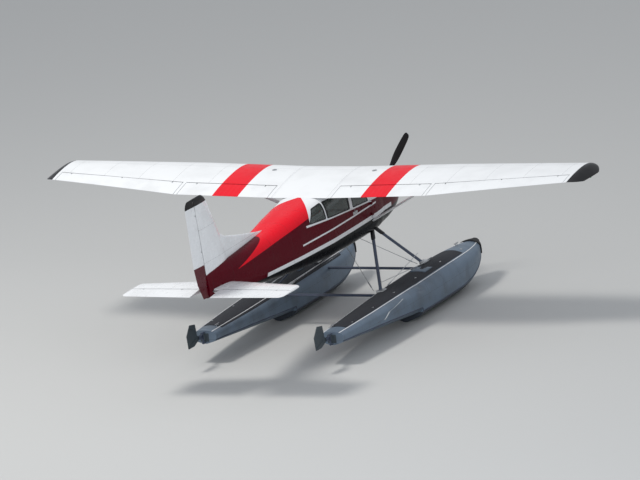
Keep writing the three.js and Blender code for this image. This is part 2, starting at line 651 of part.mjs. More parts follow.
// Rows of the long dorsal fin: y, ridge z, half width
const DORSAL = [
  [-1540, 2449, 8],
  [-1700, 2470, 16],
  [-2400, 2612, 26],
  [-2950, 2742, 34],
  [-3130, 2840, 36],
  [-3350, 2900, 36],
];
const dorsal = loft(DORSAL.map(([y, ridge, half]) => Array.from({ length: 12 }, (_, k) => {
  const turn = ((k + 0.5) / 12) * 2 * Math.PI;
  const rise = Math.sign(Math.sin(turn)) * Math.abs(Math.sin(turn)) ** 0.5;
  return [half * Math.cos(turn), y, mix(2280, ridge, (rise + 1) / 2)];
})));
const finStations = [2240, 2480, 3000, FIN_TOP_Z];
const finBody = loft(finStations.map((z) => finSurface.ring(z))).add(dorsal).subtract(rudderSplit.cut);
addPiece('fin', finBody.add(rudderSplit.lugs[1]).add(rudderSplit.lugs[2]).subtract(tailGrown), 'white');
addPiece('rudder', rudderSplit.moving, 'white');

// The dark cap closes the fin and the rudder in one line
const capSplit = splitAtHinge(finSurface, [FIN_TOP_Z - 60, CAP_TOP_Z + 60], []);
const cap = loft([[FIN_TOP_Z + TOUCH, 0], [3630, 0.12], [3680, 0.5], [CAP_TOP_Z, 1]].map(([z, round]) => {
  const ring = finSurface.ring(z);
  const [, midY] = middleOf(ring);
  return ring.map(([x, y]) => [x * (1 - 0.8 * round), midY + (y - midY) * (1 - 0.28 * round), z]);
}));
addPiece('fin_cap', cap.subtract(capSplit.cut), 'black');
addPiece('rudder_cap', cap.intersect(capSplit.moving), 'black');

// Floats

// Rows: y, half width, keel z, chine z, crown of the deck z
const FLOAT = [
  [STERN_Y, 235, 390, 470, 640],
  [-600, 330, 268, 405, 680],
  [1045, 395, 102, 280, 740],
  [1062, 395, 0, 215, 741],
  [2300, 398, 0, 215, 766],
  [2950, 385, 6, 240, 765],
  [3400, 345, 70, 315, 752],
  [3750, 262, 190, 430, 735],
  [3980, 160, 330, 540, 720],
  [4085, 62, 480, 610, 706],
];
const KEEL_HALF = 32;
const SPRAY_FLARE = 0.55; // how far across the hollow of the bottom lies
const DECK_DROP = 0.45; // from the crown to the sheer, as a part of the height over the chine
const DECK_TURNS = [0, 25, 50, 72, 90].map(THREE.MathUtils.degToRad);

function floatRing(side, [y, half, keel, chine, deck], grow = 0) {
  const keelHalf = Math.min(KEEL_HALF, half * 0.4);
  const drop = DECK_DROP * (deck - chine);
  // The rounded deck from its crown to the sheer: x, z, and how much the hull grows up there
  const top = DECK_TURNS.map((turn) => [
    half * Math.sin(turn),
    deck - drop * (1 - Math.cos(turn)),
    Math.cos(turn),
  ]);
  const right = [
    ...top,
    [half + 4, (deck - drop + chine) / 2, 0],
    [half, chine, -1],
    [mix(keelHalf, half, SPRAY_FLARE), mix(keel, chine, 0.7 * SPRAY_FLARE), -1],
    [keelHalf, keel, -1],
  ];
  const left = right.slice(1).reverse().map(([x, z, way]) => [-x, z, way]);
  return [...right, ...left].map(([x, z, way]) => [
    side * FLOAT_X + x + Math.sign(x) * grow,
    y,
    z + way * grow,
  ]);
}

function floatSolid(side, grow, reach = 0) {
  return loft(FLOAT.map((row, i) => {
    const y = row[0] - (i === 0 ? reach : 0) + (i === FLOAT.length - 1 ? reach : 0);
    return floatRing(side, [y, ...row.slice(1)], grow);
  }));
}

// Struts of one side: where each meets the belly and the float deck
const STRUTS = {
  front: { top: [400, 1950, 1540], foot: [1130, 2430, 680] },
  rear: { top: [400, 1870, 1540], foot: [1130, 560, 680] },
};
const WING_STRUT = { low: [460, 1740, 1690], high: [2500, 1210, 2760] };
const SPREADERS = { front: 2500, rear: 700 };
const SPREADER_Z = 600;
const STRUT_SECTION = [105, 42]; // length along the flight and thickness
const BRACE_SECTION = [130, 46];
const SPREADER_SECTION = [88, 48];
const BUMPER = { thick: 28, reach: 34, y: [3900, 4200], z: [500, 780] };

// Water rudders: the steering post stands in two ears on the transom, and the blade lifts about a pin
const RUDDER_POST_Y = -1872;
const EARS_Z = [410, 600];
const EAR = { half: 20, thick: 16, root: 30, past: 18 };
const POST_RADIUS = 17;
const RUDDER_PIN = 6;
const RUDDER_HOLE = 6.6;
const LIFT_PIN = [-2020, 560];
const CHEEKS = { x: [14, 26], z: [530, 590], past: 24 };
// Outline of the blade from the lift pin, raised as in flight: y and z
const LEAF_OUTLINE = [[18, -18], [18, 18], [-60, 60], [-90, 280], [-300, 320], [-450, 150], [-425, -95],
  [-200, -100]];
const LEAF_HALF = 4;
const bothFloats = SIDES.map(([, side]) => floatSolid(side, TOUCH, TOUCH));

for (const [name, side] of SIDES) {
  const across = ([x, y, z]) => [side * x, y, z];
  const grown = floatSolid(side, TOUCH, TOUCH);
  const x = side * FLOAT_X;
  const post = (from, to, radius) => rod([x, RUDDER_POST_Y, from], [x, RUDDER_POST_Y, to], radius);
  const [ear, upperEar] = EARS_Z.map((z) => block([x - EAR.half, x + EAR.half],
    [STERN_Y + EAR.root, RUDDER_POST_Y - EAR.past], [z, z + EAR.thick]));
  const hull = floatSolid(side, 0).add(ear).add(upperEar);
  addPiece(`float_${name}`, hull.subtract(post(EARS_Z[0] - 30, EARS_Z[1] + 40, RUDDER_HOLE)), 'float');

  const wrap = floatSolid(side, BUMPER.thick, BUMPER.reach)
    .intersect(block([x - HALF_CABIN, x + HALF_CABIN], BUMPER.y, BUMPER.z));
  addPiece(`bow_bumper_${name}`, wrap.subtract(grown), 'rubber');

  for (const [place, { top, foot }] of Object.entries(STRUTS)) {
    const bar = streamlined(across(top), across(foot), ...STRUT_SECTION);
    addPiece(`${place}_strut_${name}`, bar.subtract(cabinGrown).subtract(grown), 'strut');
  }
  const brace = streamlined(across(WING_STRUT.low), across(WING_STRUT.high), ...BRACE_SECTION);
  const wingGrown = loft([500, TAPER_X, PANEL_END_X].map((x) => wingSurface.ring(side * x, TOUCH)));
  addPiece(`wing_strut_${name}`, brace.subtract(cabinGrown).subtract(wingGrown), 'white');

  const liftPin = (half, radius) => rod([x - half, ...LIFT_PIN], [x + half, ...LIFT_PIN], radius);
  let head = post(EARS_Z[0] + EAR.thick + TOUCH, EARS_Z[1] - TOUCH, POST_RADIUS)
    .add(post(EARS_Z[0] - 10, EARS_Z[1] + 26, RUDDER_PIN))
    .add(block([x - CHEEKS.x[1], x + CHEEKS.x[1]], [RUDDER_POST_Y - 60, RUDDER_POST_Y - 5],
      [CHEEKS.z[0] - 30, CHEEKS.z[1]]));
  for (const at of [-CHEEKS.x[1], CHEEKS.x[0]]) {
    const width = [x + at, x + at + CHEEKS.x[1] - CHEEKS.x[0]];
    head = head.add(block(width, [LIFT_PIN[0] - CHEEKS.past, RUDDER_POST_Y - 40], CHEEKS.z));
  }
  addPiece(`water_rudder_head_${name}`, head.add(liftPin(CHEEKS.x[1] + 4, RUDDER_PIN)), 'strut');
  const outline = LEAF_OUTLINE.map(([y, z]) => [LIFT_PIN[0] + y, LIFT_PIN[1] + z]);
  const leaf = sidePlate(outline, [x - LEAF_HALF, x + LEAF_HALF], 12, 2).add(liftPin(CHEEKS.x[0] - 2, 20));
  addPiece(`water_rudder_blade_${name}`, leaf.subtract(liftPin(CHEEKS.x[1] * 2, RUDDER_HOLE)), 'strut');
}

for (const [place, y] of Object.entries(SPREADERS)) {
  let bar = streamlined([-FLOAT_X, y, SPREADER_Z], [FLOAT_X, y, SPREADER_Z], ...SPREADER_SECTION);
  for (const grown of bothFloats) bar = bar.subtract(grown);
  addPiece(`${place}_spreader`, bar, 'strut');
}

// Cabin furniture, standing on the floor

const FLOOR_Z = BELLY_Z + FLOOR_DEPTH;
const CUSHION_Z = [240, 350]; // over the floor
const BACK_LEAN = 110; // how far the top of a back lies behind its foot
const BACK_DEPTH = 80;
const BASE_PART = 0.38; // half width of the frame under a cushion, as a part of its width
const room = bodySolid(CABIN, -WALL - TOUCH, -WALL - TOUCH, FLOOR_DEPTH - WALL + 2 * TOUCH);
// Rows: name, middle x, width, y of the back's foot, cushion length, back height
const CHAIRS = [
  ['seat_left', -245, 400, 1010, 450, 560],
  ['seat_right', 245, 400, 1010, 450, 560],
  ['bench_middle', 0, 880, 190, 430, 500],
  ['bench_rear', 0, 700, -600, 360, 420],
];
for (const [name, x, width, y, length, height] of CHAIRS) {
  const span = [x - width / 2, x + width / 2];
  const [under, over] = CUSHION_Z.map((z) => FLOOR_Z + z);
  const top = over + height - 50;
  const outline = [
    [y + length, under], [y + length, over], [y + 70, over - 10],
    [y + 70 - BACK_LEAN, top], [y + 70 - BACK_LEAN - BACK_DEPTH, top - 10], [y - 30, under],
  ];
  const base = block([x - width * BASE_PART, x + width * BASE_PART], [y + 20, y + length - 90],
    [FLOOR_Z - WALL, under + 5]);
  addPiece(name, sidePlate(outline, span, 26, 2).add(base).intersect(room), 'cloth');
}

const PANEL_Y = [1960, 2010];
const PANEL_Z = [2010, 2330];
const YOKE = { x: 245, z: 2130, radius: 13, reach: 190, half: 130, grip: 120, thick: 18, height: 60 };
let panel = block([-HALF_CABIN, HALF_CABIN], PANEL_Y, PANEL_Z).intersect(room);
for (const side of [-1, 1]) {
  const x = side * YOKE.x;
  const back = PANEL_Y[0] - YOKE.reach;
  const depth = [back - 10, back - 10 + YOKE.thick];
  panel = panel.add(rod([x, PANEL_Y[0] + 10, YOKE.z], [x, back, YOKE.z - 20], YOKE.radius));
  panel = panel.add(block([x - YOKE.half, x + YOKE.half], depth, [YOKE.z - 34, YOKE.z - 6]));
  for (const grip of [-YOKE.grip, YOKE.grip]) {
    const width = [x + grip - 12, x + grip + 12];
    panel = panel.add(block(width, depth, [YOKE.z - YOKE.height, YOKE.z + YOKE.height]));
  }
}
addPiece('instrument_panel', panel, 'panel');

export default floatplane;
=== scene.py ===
import math
import bmesh
import bpy
from mathutils import Matrix, Quaternion, Vector


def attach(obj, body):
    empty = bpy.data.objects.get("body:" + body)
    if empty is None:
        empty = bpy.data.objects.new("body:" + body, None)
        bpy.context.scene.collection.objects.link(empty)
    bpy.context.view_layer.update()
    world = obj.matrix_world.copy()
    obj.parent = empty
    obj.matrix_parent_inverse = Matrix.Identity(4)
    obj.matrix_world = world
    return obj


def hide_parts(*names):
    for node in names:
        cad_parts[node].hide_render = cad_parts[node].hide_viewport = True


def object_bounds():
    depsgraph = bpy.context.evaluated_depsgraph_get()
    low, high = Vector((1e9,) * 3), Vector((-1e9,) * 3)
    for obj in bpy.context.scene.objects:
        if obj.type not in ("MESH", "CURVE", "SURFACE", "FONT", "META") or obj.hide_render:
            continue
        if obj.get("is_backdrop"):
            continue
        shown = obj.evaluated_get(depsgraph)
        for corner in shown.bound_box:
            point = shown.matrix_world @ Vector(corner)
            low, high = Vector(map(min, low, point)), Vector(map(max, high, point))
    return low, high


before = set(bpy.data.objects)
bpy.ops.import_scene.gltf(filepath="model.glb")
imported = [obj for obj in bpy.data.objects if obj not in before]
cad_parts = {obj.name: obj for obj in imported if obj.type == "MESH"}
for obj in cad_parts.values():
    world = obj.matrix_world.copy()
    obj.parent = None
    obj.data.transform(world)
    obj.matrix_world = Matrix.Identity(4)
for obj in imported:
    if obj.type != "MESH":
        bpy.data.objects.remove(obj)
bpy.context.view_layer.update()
bpy.context.scene.view_settings.view_transform = "Standard"

# Camera. The machine is seen from far behind and to its right, a little from above, through a long
# lens, with the picture tilted so that the wing runs almost level across it.
BEHIND = math.radians(28.4)
ABOVE = math.radians(14.05)
TILT = math.radians(7.05)
LENS = 800
SENSOR = 36
PICTURE_WIDTH = 11.54  # in metres, at the machine
FARTHEST = 900
TO_MIDDLE = (0.38, -0.757)  # from the wing's rear edge to the picture's middle: right and up


def add_object(name, data):
    """A new object in the scene."""
    made = bpy.data.objects.new(name, data)
    bpy.context.scene.collection.objects.link(made)
    return made


camera = add_object("camera", bpy.data.cameras.new("camera"))
bpy.context.scene.camera = camera
camera.data.lens = LENS
camera.data.sensor_width = SENSOR
camera.data.clip_end = FARTHEST
towards_camera = Vector((
    math.sin(BEHIND) * math.cos(ABOVE), -math.cos(BEHIND) * math.cos(ABOVE), math.sin(ABOVE)))
camera.rotation_mode = "QUATERNION"
camera.rotation_quaternion = (-towards_camera).to_track_quat("-Z", "Y") @ Quaternion((0, 0, 1), -TILT)
wing_rear = Vector((0, 0.08, 2.62))  # the middle of the wing's rear edge
aim = wing_rear + camera.rotation_quaternion @ Vector((*TO_MIDDLE, 0))
camera.location = aim + towards_camera * (PICTURE_WIDTH * LENS / SENSOR)

# Floor and light. A plain pale studio floor, a broad lamp high on the left for the sun, a wider and
# cooler one beside the camera, and an even pale surround that the gloss paint mirrors.
FLOOR_HALF, FLOOR_TONE = 90, (0.5, 0.5, 0.49)
SKY_TONE, SKY_STRENGTH = (0.86, 0.9, 0.96), 0.66


def new_material(name):
    """A new material, with its tree of nodes and its shader."""
    made = bpy.data.materials.new(name)
    made.use_nodes = True
    return made, made.node_tree, made.node_tree.nodes["Principled BSDF"]


floor_form = bmesh.new()
bmesh.ops.create_grid(floor_form, x_segments=2, y_segments=2, size=FLOOR_HALF)
floor_mesh = bpy.data.meshes.new("studio_floor")
floor_form.to_mesh(floor_mesh)
floor_form.free()
studio_floor = add_object("studio_floor", floor_mesh)
studio_floor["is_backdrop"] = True
floor_paint, _, floor_shader = new_material("studio_floor_paint")
floor_shader.inputs["Base Color"].default_value = (*FLOOR_TONE, 1)
floor_shader.inputs["Roughness"].default_value = 0.9
floor_mesh.materials.append(floor_paint)

world = bpy.data.worlds.new("studio")
bpy.context.scene.world = world
world.use_nodes = True
world.node_tree.nodes["Background"].inputs["Color"].default_value = (*SKY_TONE, 1)
world.node_tree.nodes["Background"].inputs["Strength"].default_value = SKY_STRENGTH

# Rows: name, place, size, power, colour
LAMPS = [
    ("sun_lamp", (-9, -9, 26), 6, 4600, (1, 0.98, 0.94)),
    ("front_lamp", (16, -24, 12), 16, 2400, (0.88, 0.93, 1)),
]
for lamp_name, place, size, power, colour in LAMPS:
    light = bpy.data.lights.new(lamp_name, "AREA")
    light.size = size
    light.energy = power
    light.color = colour
    lamp = add_object(lamp_name, light)
    lamp.location = place
    lamp.rotation_mode = "QUATERNION"
    lamp.rotation_quaternion = (aim - Vector(place)).to_track_quat("-Z", "Y")

# Cabin shell. Riveted aluminium sheet over frames, white round the windows, pale lines along the side and
# a black belly, with its red painted dark maroon on the sides as painted shade. The skin is a loft through
# frames, 40 mm thick with its lining.
REAR_EDGE = 0.08  # places along the machine are metres ahead of the wing's rear edge, which is here
WALL = 0.04
GLASS = 0.008
BELLY, FLOOR_DEPTH = 1.44, 0.235  # height of the belly, and of the cabin floor over it
# Rows: place along, half width, belly height, top height, squareness, how much the shoulders narrow
CABIN = [
    (2.21, 0.52, 1.475, 2.33, 4, 0.08),
    (2.09, 0.54, 1.455, 2.37, 4, 0.08),
    (1.84, 0.56, BELLY, 2.575, 4.2, 0.1),
    (1.6, 0.56, BELLY, 2.735, 4.5, 0.1),
    (0.9, 0.56, BELLY, 2.735, 4.5, 0.1),
    (0.15, 0.545, 1.45, 2.64, 4.5, 0.1),
    (-0.06, 0.53, 1.458, 2.618, 4.2, 0.1),
    (-0.94, 0.455, 1.497, 2.53, 3.6, 0.1),
]


def hull_ring(row, inset=0.0, floor=0.0, sides=72):
    """Points round the fuselage at one of its frames, drawn in by inset and raised below by floor."""
    along, half, belly, top, square, narrow = row
    low = belly + inset + floor
    middle, height = (top - inset + low) / 2, (top - inset - low) / 2
    points = []
    for k in range(sides):
        turn = (k + 0.5) / sides * 2 * math.pi
        rise = math.copysign(abs(math.sin(turn)) ** (2 / square), math.sin(turn))
        wide = math.copysign(abs(math.cos(turn)) ** (2 / square), math.cos(turn))
        wide *= (half - inset) * (1 - narrow * max(0, rise))
        points.append((wide, along + REAR_EDGE, middle + height * rise))
    return points


def finer(rows, steps, curved=False):
    """More rows between the given ones, on straight lines or on a smooth curve through them."""
    made = []
    for i in range(len(rows) - 1):
        a, b = Vector(rows[i]), Vector(rows[i + 1])
        leave = (b - Vector(rows[max(i - 1, 0)])) / 2
        arrive = (Vector(rows[min(i + 2, len(rows) - 1)]) - a) / 2
        for k in range(steps):
            t = k / steps
            row = a + (b - a) * t
            if curved:
                ease = 3 * t ** 2 - 2 * t ** 3
                row = a + (b - a) * ease + leave * (t ** 3 - 2 * t ** 2 + t) + arrive * (t ** 3 - t ** 2)
            made.append(tuple(row))
    return made + [tuple(rows[-1])]


def smooth(mesh, edge_angle=35):
    """Shades a mesh smooth but for its sharp edges."""
    mesh.shade_smooth()
    mesh.set_sharp_from_angle(angle=math.radians(edge_angle))
    return mesh


def as_piece(name, form, edge_angle=35):
    """A finished form as an object at the origin."""
    mesh = bpy.data.meshes.new(name)
    form.to_mesh(mesh)
    form.free()
    return add_object(name, smooth(mesh, edge_angle))


def skin_form(rings):
    """A closed skin through rings of points: a grid laid on them, with its seam joined and ends filled."""
    form = bmesh.new()
    around, along = len(rings[0]), len(rings) - 1
    bmesh.ops.create_grid(form, x_segments=around, y_segments=along, size=1)
    form.verts.ensure_lookup_table()
    for k, vertex in enumerate(form.verts):
        vertex.co = rings[k // (around + 1)][k % (around + 1) % around]
    bmesh.ops.remove_doubles(form, verts=form.verts, dist=1e-5)
    rims = [edge for edge in form.edges if edge.is_boundary]
    bmesh.ops.holes_fill(form, edges=rims, sides=0)
    bmesh.ops.recalc_face_normals(form, faces=form.faces)
    return form


def skin(name, rings, edge_angle=35):
    """A piece lofted through rings of points."""
    return as_piece(name, skin_form(rings), edge_angle)


def round_off(form, parts, by, steps, affect="EDGES"):
    """Rounds edges or corners of a form."""
    bmesh.ops.bevel(form, geom=parts, offset=by, offset_type="OFFSET", segments=steps, profile=0.5,
                    affect=affect, material=-1)


def side_plate(outline, across, corner=0.0, name="plate"):
    """A plate with a side-view outline, rounded at its corners, between two places across the machine."""
    form = bmesh.new()
    corners = [form.verts.new((across[0], y + REAR_EDGE, z)) for y, z in outline]
    form.faces.new(corners)
    if corner:
        round_off(form, corners, corner, 5, "VERTICES")
    made = bmesh.ops.extrude_face_region(form, geom=form.faces[:])
    moved = [part for part in made["geom"] if isinstance(part, bmesh.types.BMVert)]
    bmesh.ops.translate(form, verts=moved, vec=(across[1] - across[0], 0, 0))
    bmesh.ops.recalc_face_normals(form, faces=form.faces)
    return as_piece(name, form)


def carve(piece, cutter, how="DIFFERENCE", keep_cutter=False):
    """Cuts one form out of another, or keeps what both share, and makes the result the piece's mesh."""
    cut = piece.modifiers.new("cut", "BOOLEAN")
    cut.object = cutter
    cut.operation = how
    cut.solver = "EXACT"
    cut.material_mode = "TRANSFER"
    solid = piece.evaluated_get(bpy.context.evaluated_depsgraph_get())
    mesh = bpy.data.meshes.new_from_object(solid)
    piece.modifiers.clear()
    piece.data = smooth(mesh)
    if not keep_cutter:
        bpy.data.objects.remove(cutter)
    return piece


def twin(piece, name):
    """A copy of a piece with a mesh of its own."""
    copy = piece.copy()
    copy.data = piece.data.copy()
    copy.name = name
    bpy.context.scene.collection.objects.link(copy)
    return copy


def number(tree, kind, *values):
    """A math node, fed with numbers or with other nodes' values."""
    node = tree.nodes.new("ShaderNodeMath")
    node.operation = kind
    for socket, value in zip(node.inputs, values):
        if isinstance(value, (int, float)):
            socket.default_value = value
        else:
            tree.links.new(value, socket)
    return node.outputs[0]


def measured(tree, direction):
    """How far each point lies along a direction, with both sides of the machine counted as the right."""
    where = tree.nodes.new("ShaderNodeTexCoord").outputs["Object"]
    apart = tree.nodes.new("ShaderNodeSeparateXYZ")
    tree.links.new(where, apart.inputs[0])
    folded = tree.nodes.new("ShaderNodeCombineXYZ")
    tree.links.new(number(tree, "ABSOLUTE", apart.outputs["X"]), folded.inputs["X"])
    tree.links.new(apart.outputs["Y"], folded.inputs["Y"])
    tree.links.new(apart.outputs["Z"], folded.inputs["Z"])
    dot = tree.nodes.new("ShaderNodeVectorMath")
    dot.operation = "DOT_PRODUCT"
    dot.inputs[1].default_value = direction
    tree.links.new(folded.outputs[0], dot.inputs[0])
    return dot.outputs["Value"]


def speckle(tree, scale, detail=3.0, stretch=(1, 1, 1)):
    """Smooth noise over the piece."""
    where = tree.nodes.new("ShaderNodeTexCoord").outputs["Object"]
    mapping = tree.nodes.new("ShaderNodeMapping")
    mapping.inputs["Scale"].default_value = stretch
    tree.links.new(where, mapping.inputs["Vector"])
    texture = tree.nodes.new("ShaderNodeTexNoise")
    texture.inputs["Scale"].default_value = scale
    texture.inputs["Detail"].default_value = detail
    tree.links.new(mapping.outputs["Vector"], texture.inputs["Vector"])
    return texture.outputs["Fac"]


def spread(tree, value, low, high, start=0.3, end=0.7):
    """Turns noise into numbers between low and high."""
    node = tree.nodes.new("ShaderNodeMapRange")
    for socket, setting in zip(("From Min", "From Max", "To Min", "To Max"), (start, end, low, high)):
        node.inputs[socket].default_value = setting
    tree.links.new(value, node.inputs["Value"])
    return node.outputs["Result"]


def over(tree, under, mask, colour):
    """Lays a colour over another where the mask is 1."""
    node = tree.nodes.new("ShaderNodeMix")
    node.data_type = "RGBA"
    for socket, value in ((node.inputs[6], under), (node.inputs[7], colour)):
        if isinstance(value, tuple):
            socket.default_value = (*value, 1)
        else:
            tree.links.new(value, socket)
    tree.links.new(mask, node.inputs["Factor"])
    return node.outputs[2]


ACROSS, ALONG, UP = (1, 0, 0), (0, 1, 0), (0, 0, 1)
SEAM, SEAM_DARKNESS = 0.004, 0.55
DIRT = (0.05, 0.045, 0.04)


def relief(tree, shader, height, strength, depth):
    """Raises and sinks a surface by a pattern."""
    bump = tree.nodes.new("ShaderNodeBump")
    bump.inputs["Strength"].default_value = strength
    bump.inputs["Distance"].default_value = depth
    tree.links.new(height, bump.inputs["Height"])
    tree.links.new(bump.outputs["Normal"], shader.inputs["Normal"])


def sheet_paint(name, colour, regions=(), seams=(), roughness=0.3, metallic=0.0, coat=0.0, grime=0.12,
                ripple=0.15, beads=None, shine=0.3):
    """Paint on thin sheet. Regions are other colours, each within (direction, low, high) limits, and
    seams are thin lapped joints, each (direction, pitch, first). Beads are pressed ribs of that pitch."""
    made, tree, shader = new_material(name)
    tone = colour
    for region_colour, limits in regions:
        mask = None
        for direction, low, high in limits:
            inside = number(tree, "COMPARE", measured(tree, direction), (low + high) / 2, (high - low) / 2)
            mask = inside if mask is None else number(tree, "MULTIPLY", mask, inside)
        tone = over(tree, tone, mask, region_colour)
    dirt = spread(tree, speckle(tree, 2.3, 6), 0, grime, 0.45, 0.8)
    tone = over(tree, tone, dirt, DIRT)
    height = number(tree, "MULTIPLY", speckle(tree, 4, 1), ripple)
    for direction, pitch, first in seams:
        off = number(tree, "PINGPONG", number(tree, "SUBTRACT", measured(tree, direction), first), pitch / 2)
        line = number(tree, "LESS_THAN", off, SEAM / 2)
        tone = over(tree, tone, number(tree, "MULTIPLY", line, SEAM_DARKNESS), (0.03, 0.03, 0.03))
        height = number(tree, "SUBTRACT", height, line)
    if beads:
        direction, pitch = beads
        wave = number(tree, "SINE", number(tree, "MULTIPLY", measured(tree, direction), 2 * math.pi / pitch))
        height = number(tree, "ADD", height, number(tree, "MULTIPLY", wave, 0.6))
    tree.links.new(tone, shader.inputs["Base Color"])
    gloss = spread(tree, speckle(tree, 7), roughness - 0.05, roughness + 0.08)
    tree.links.new(gloss, shader.inputs["Roughness"])
    relief(tree, shader, height, 0.25, 0.004)
    shader.inputs["Metallic"].default_value = metallic
    shader.inputs["Specular IOR Level"].default_value = shine
    shader.inputs["Coat Weight"].default_value = coat
    shader.inputs["Coat Roughness"].default_value = 0.06
    return made


# The red paint's shaded copy, dark maroon: painted shade on the sides of cabin, tailcone and cowl and on the
# low rudder
SHADED_RED = (0.085, 0.002, 0.008)
RED = (0.72, 0.008, 0.02)
WHITE = (0.76, 0.77, 0.78)
BLACK = (0.006, 0.006, 0.007)
TRIM = (0.7, 0.71, 0.72)
# A line along the side that rises towards the tail, and what it rises for each metre
TRIM_RISE = 0.064
UNDER_WINDOWS = (0, TRIM_RISE, 1)
TRIM_HEIGHT = 2.222 + TRIM_RISE * REAR_EDGE
SHOULDER_CUT = (1, 0.75, 0)  # the slanted edge of the white behind the cabin
SUNLIT_TOP_EDGE = (0, -0.112, 1)  # the line along the tailcone above which its red is painted sunlit and below which it is painted shaded
FIN_SHADOW_EDGE = (0, -0.28, 1)  # the slanted edge from the dorsal fin's tip, behind which the top is maroon as the fin's painted cast shadow
PINSTRIPE, STRIPE = (0, -0.0185, 1), (0, -0.012, 1)
# The first region lays the red's bright sunlit copy over its shaded copy on the top: painted sunlight
FUSELAGE_REGIONS = [
    (RED, [(SUNLIT_TOP_EDGE, 2.439, 4), (FIN_SHADOW_EDGE, 0, 2.92)]),
    (WHITE, [(UNDER_WINDOWS, TRIM_HEIGHT, 4), (SHOULDER_CUT, 0.04 + 0.75 * REAR_EDGE, 4), (ALONG, -1, 2.29)]),
    (TRIM, [(UNDER_WINDOWS, TRIM_HEIGHT - 0.018, TRIM_HEIGHT + 0.02), (ALONG, -0.6, 1.73)]),
    (TRIM, [(PINSTRIPE, 1.981, 2.011), (ALONG, -0.82, 1.95)]),
    (TRIM, [(STRIPE, 1.748, 1.822), (ALONG, -1.97, 2.61)]),
    (BLACK, [(STRIPE, 0, 1.748)]),
]
fuselage_paint = sheet_paint(
    "fuselage_paint", SHADED_RED, FUSELAGE_REGIONS, [(ALONG, 0.62, 0.1)], roughness=0.28, coat=0.02, grime=0.06,
    shine=0.07)
lining = sheet_paint("cabin_lining", (0.2, 0.19, 0.17), roughness=0.8, grime=0.3, ripple=0.6)

# Side-view outlines, (along, height)
SCREEN = [(2.16, 2.3), (2.08, 2.235), (1.745, 2.19), (1.5, 2.59), (1.48, 2.9), (2.3, 2.9)]
DOOR = [(0.905, 1.672), (1.65, 1.672), (1.65, 2.15), (1.425, 2.572), (0.905, 2.572)]
DOOR_CORNER = 0.03
DOOR_CLEAR = 0.007  # between the door and its opening, all round
PAST_SIDE = 0.7  # farther out than the cabin's sides
WINDOWS = {
    "door": [(0.985, 2.182), (1.56, 2.146), (1.375, 2.53), (0.985, 2.53)],
    "mid": [(0.05, 2.241), (0.83, 2.19), (0.83, 2.53), (0.05, 2.53)],
    "aft": [(-0.56, 2.288), (-0.035, 2.249), (-0.035, 2.53), (-0.33, 2.5)],
}
SIDES = [("left", -1), ("right", 1)]

cabin_rows = finer(CABIN, 4)
shell = skin("cabin_skin", [hull_ring(row) for row in cabin_rows])
shell.data.materials.append(fuselage_paint)
front_row, back_row = CABIN[0], CABIN[-1]
room_front, room_back = (front_row[0] - WALL, *front_row[1:]), (back_row[0] + WALL, *back_row[1:])
room_rows = finer([room_front, *CABIN[1:-1], room_back], 4)
room = skin("cabin_room", [hull_ring(row, WALL, FLOOR_DEPTH - WALL) for row in room_rows])
room.data.materials.append(lining)
carve(shell, room)


def cabin_layer(name, outside, inside):
    """What lies between two depths in the cabin's wall."""
    layer = skin(name, [hull_ring(row, outside) for row in cabin_rows])
    return carve(layer, skin("inside", [hull_ring(row, inside) for row in cabin_rows]))


pane_skin = cabin_layer("pane_skin", 0.002, 0.002 + GLASS)
bead_skin = cabin_layer("bead_skin", -0.003, 0.012)


def grown(outline, by):
    """A side-view outline made larger about its middle."""
    middle = [sum(point[k] for point in outline) / len(outline) for k in (0, 1)]
    reach = min(max(point[k] for point in outline) - middle[k] for k in (0, 1))
    return [tuple(m + (p - m) * (1 + by / reach) for p, m in zip(point, middle)) for point in outline]


def add_bar(form, start, end, radius, end_radius=None, segments=12):
    """Adds a round bar between two points to a form."""
    start, end = Vector(start), Vector(end)
    turn = (end - start).to_track_quat("Z", "Y").to_matrix().to_4x4()
    place = Matrix.Translation((start + end) / 2) @ turn
    bmesh.ops.create_cone(form, cap_ends=True, segments=segments, radius1=radius,
                          radius2=radius if end_radius is None else end_radius,
                          depth=(end - start).length, matrix=place)


def add_pin(form, at, way, reach, radius, segments=12):
    """Adds a round pin through a point, reaching back and on along a direction."""
    at, way = Vector(at), Vector(way)
    back, on = reach if isinstance(reach, tuple) else (reach, reach)
    add_bar(form, at - way * back, at + way * on, radius, segments=segments)


def drill(piece, at, way, reach, radius, segments=32):
    """Cuts a round hole into a piece."""
    form = bmesh.new()
    add_pin(form, at, way, reach, radius, segments)
    carve(piece, as_piece("drill", form))


def add_block(form, low, high, round_by=0.0):
    """Adds a block between two corners to a form, with its edges rounded."""
    low, high = Vector(map(min, low, high)), Vector(map(max, low, high))
    size = Matrix.Diagonal((*(high - low), 1))
    made = bmesh.ops.create_cube(form, size=1, matrix=Matrix.Translation((low + high) / 2) @ size)
    if round_by:
        edges = list({edge for vertex in made["verts"] for edge in vertex.link_edges})
        round_off(form, edges, round_by, 2)


def cut_block(piece, low, high, how="DIFFERENCE"):
    """Cuts a block out of a piece, or keeps only what lies in it."""
    form = bmesh.new()
    add_block(form, low, high)
    carve(piece, as_piece("block", form), how)


def cut_side(piece, outline, side, how="DIFFERENCE"):
    """Cuts a rounded side-view outline through one side of a piece, or keeps only what lies in it."""
    return carve(piece, side_plate(outline, (side * 0.2, side * PAST_SIDE), DOOR_CORNER), how)


def on_side(side, *points):
    """Points that are given for the right side, on either side."""
    return [(side * x, y, z) for x, y, z in points]


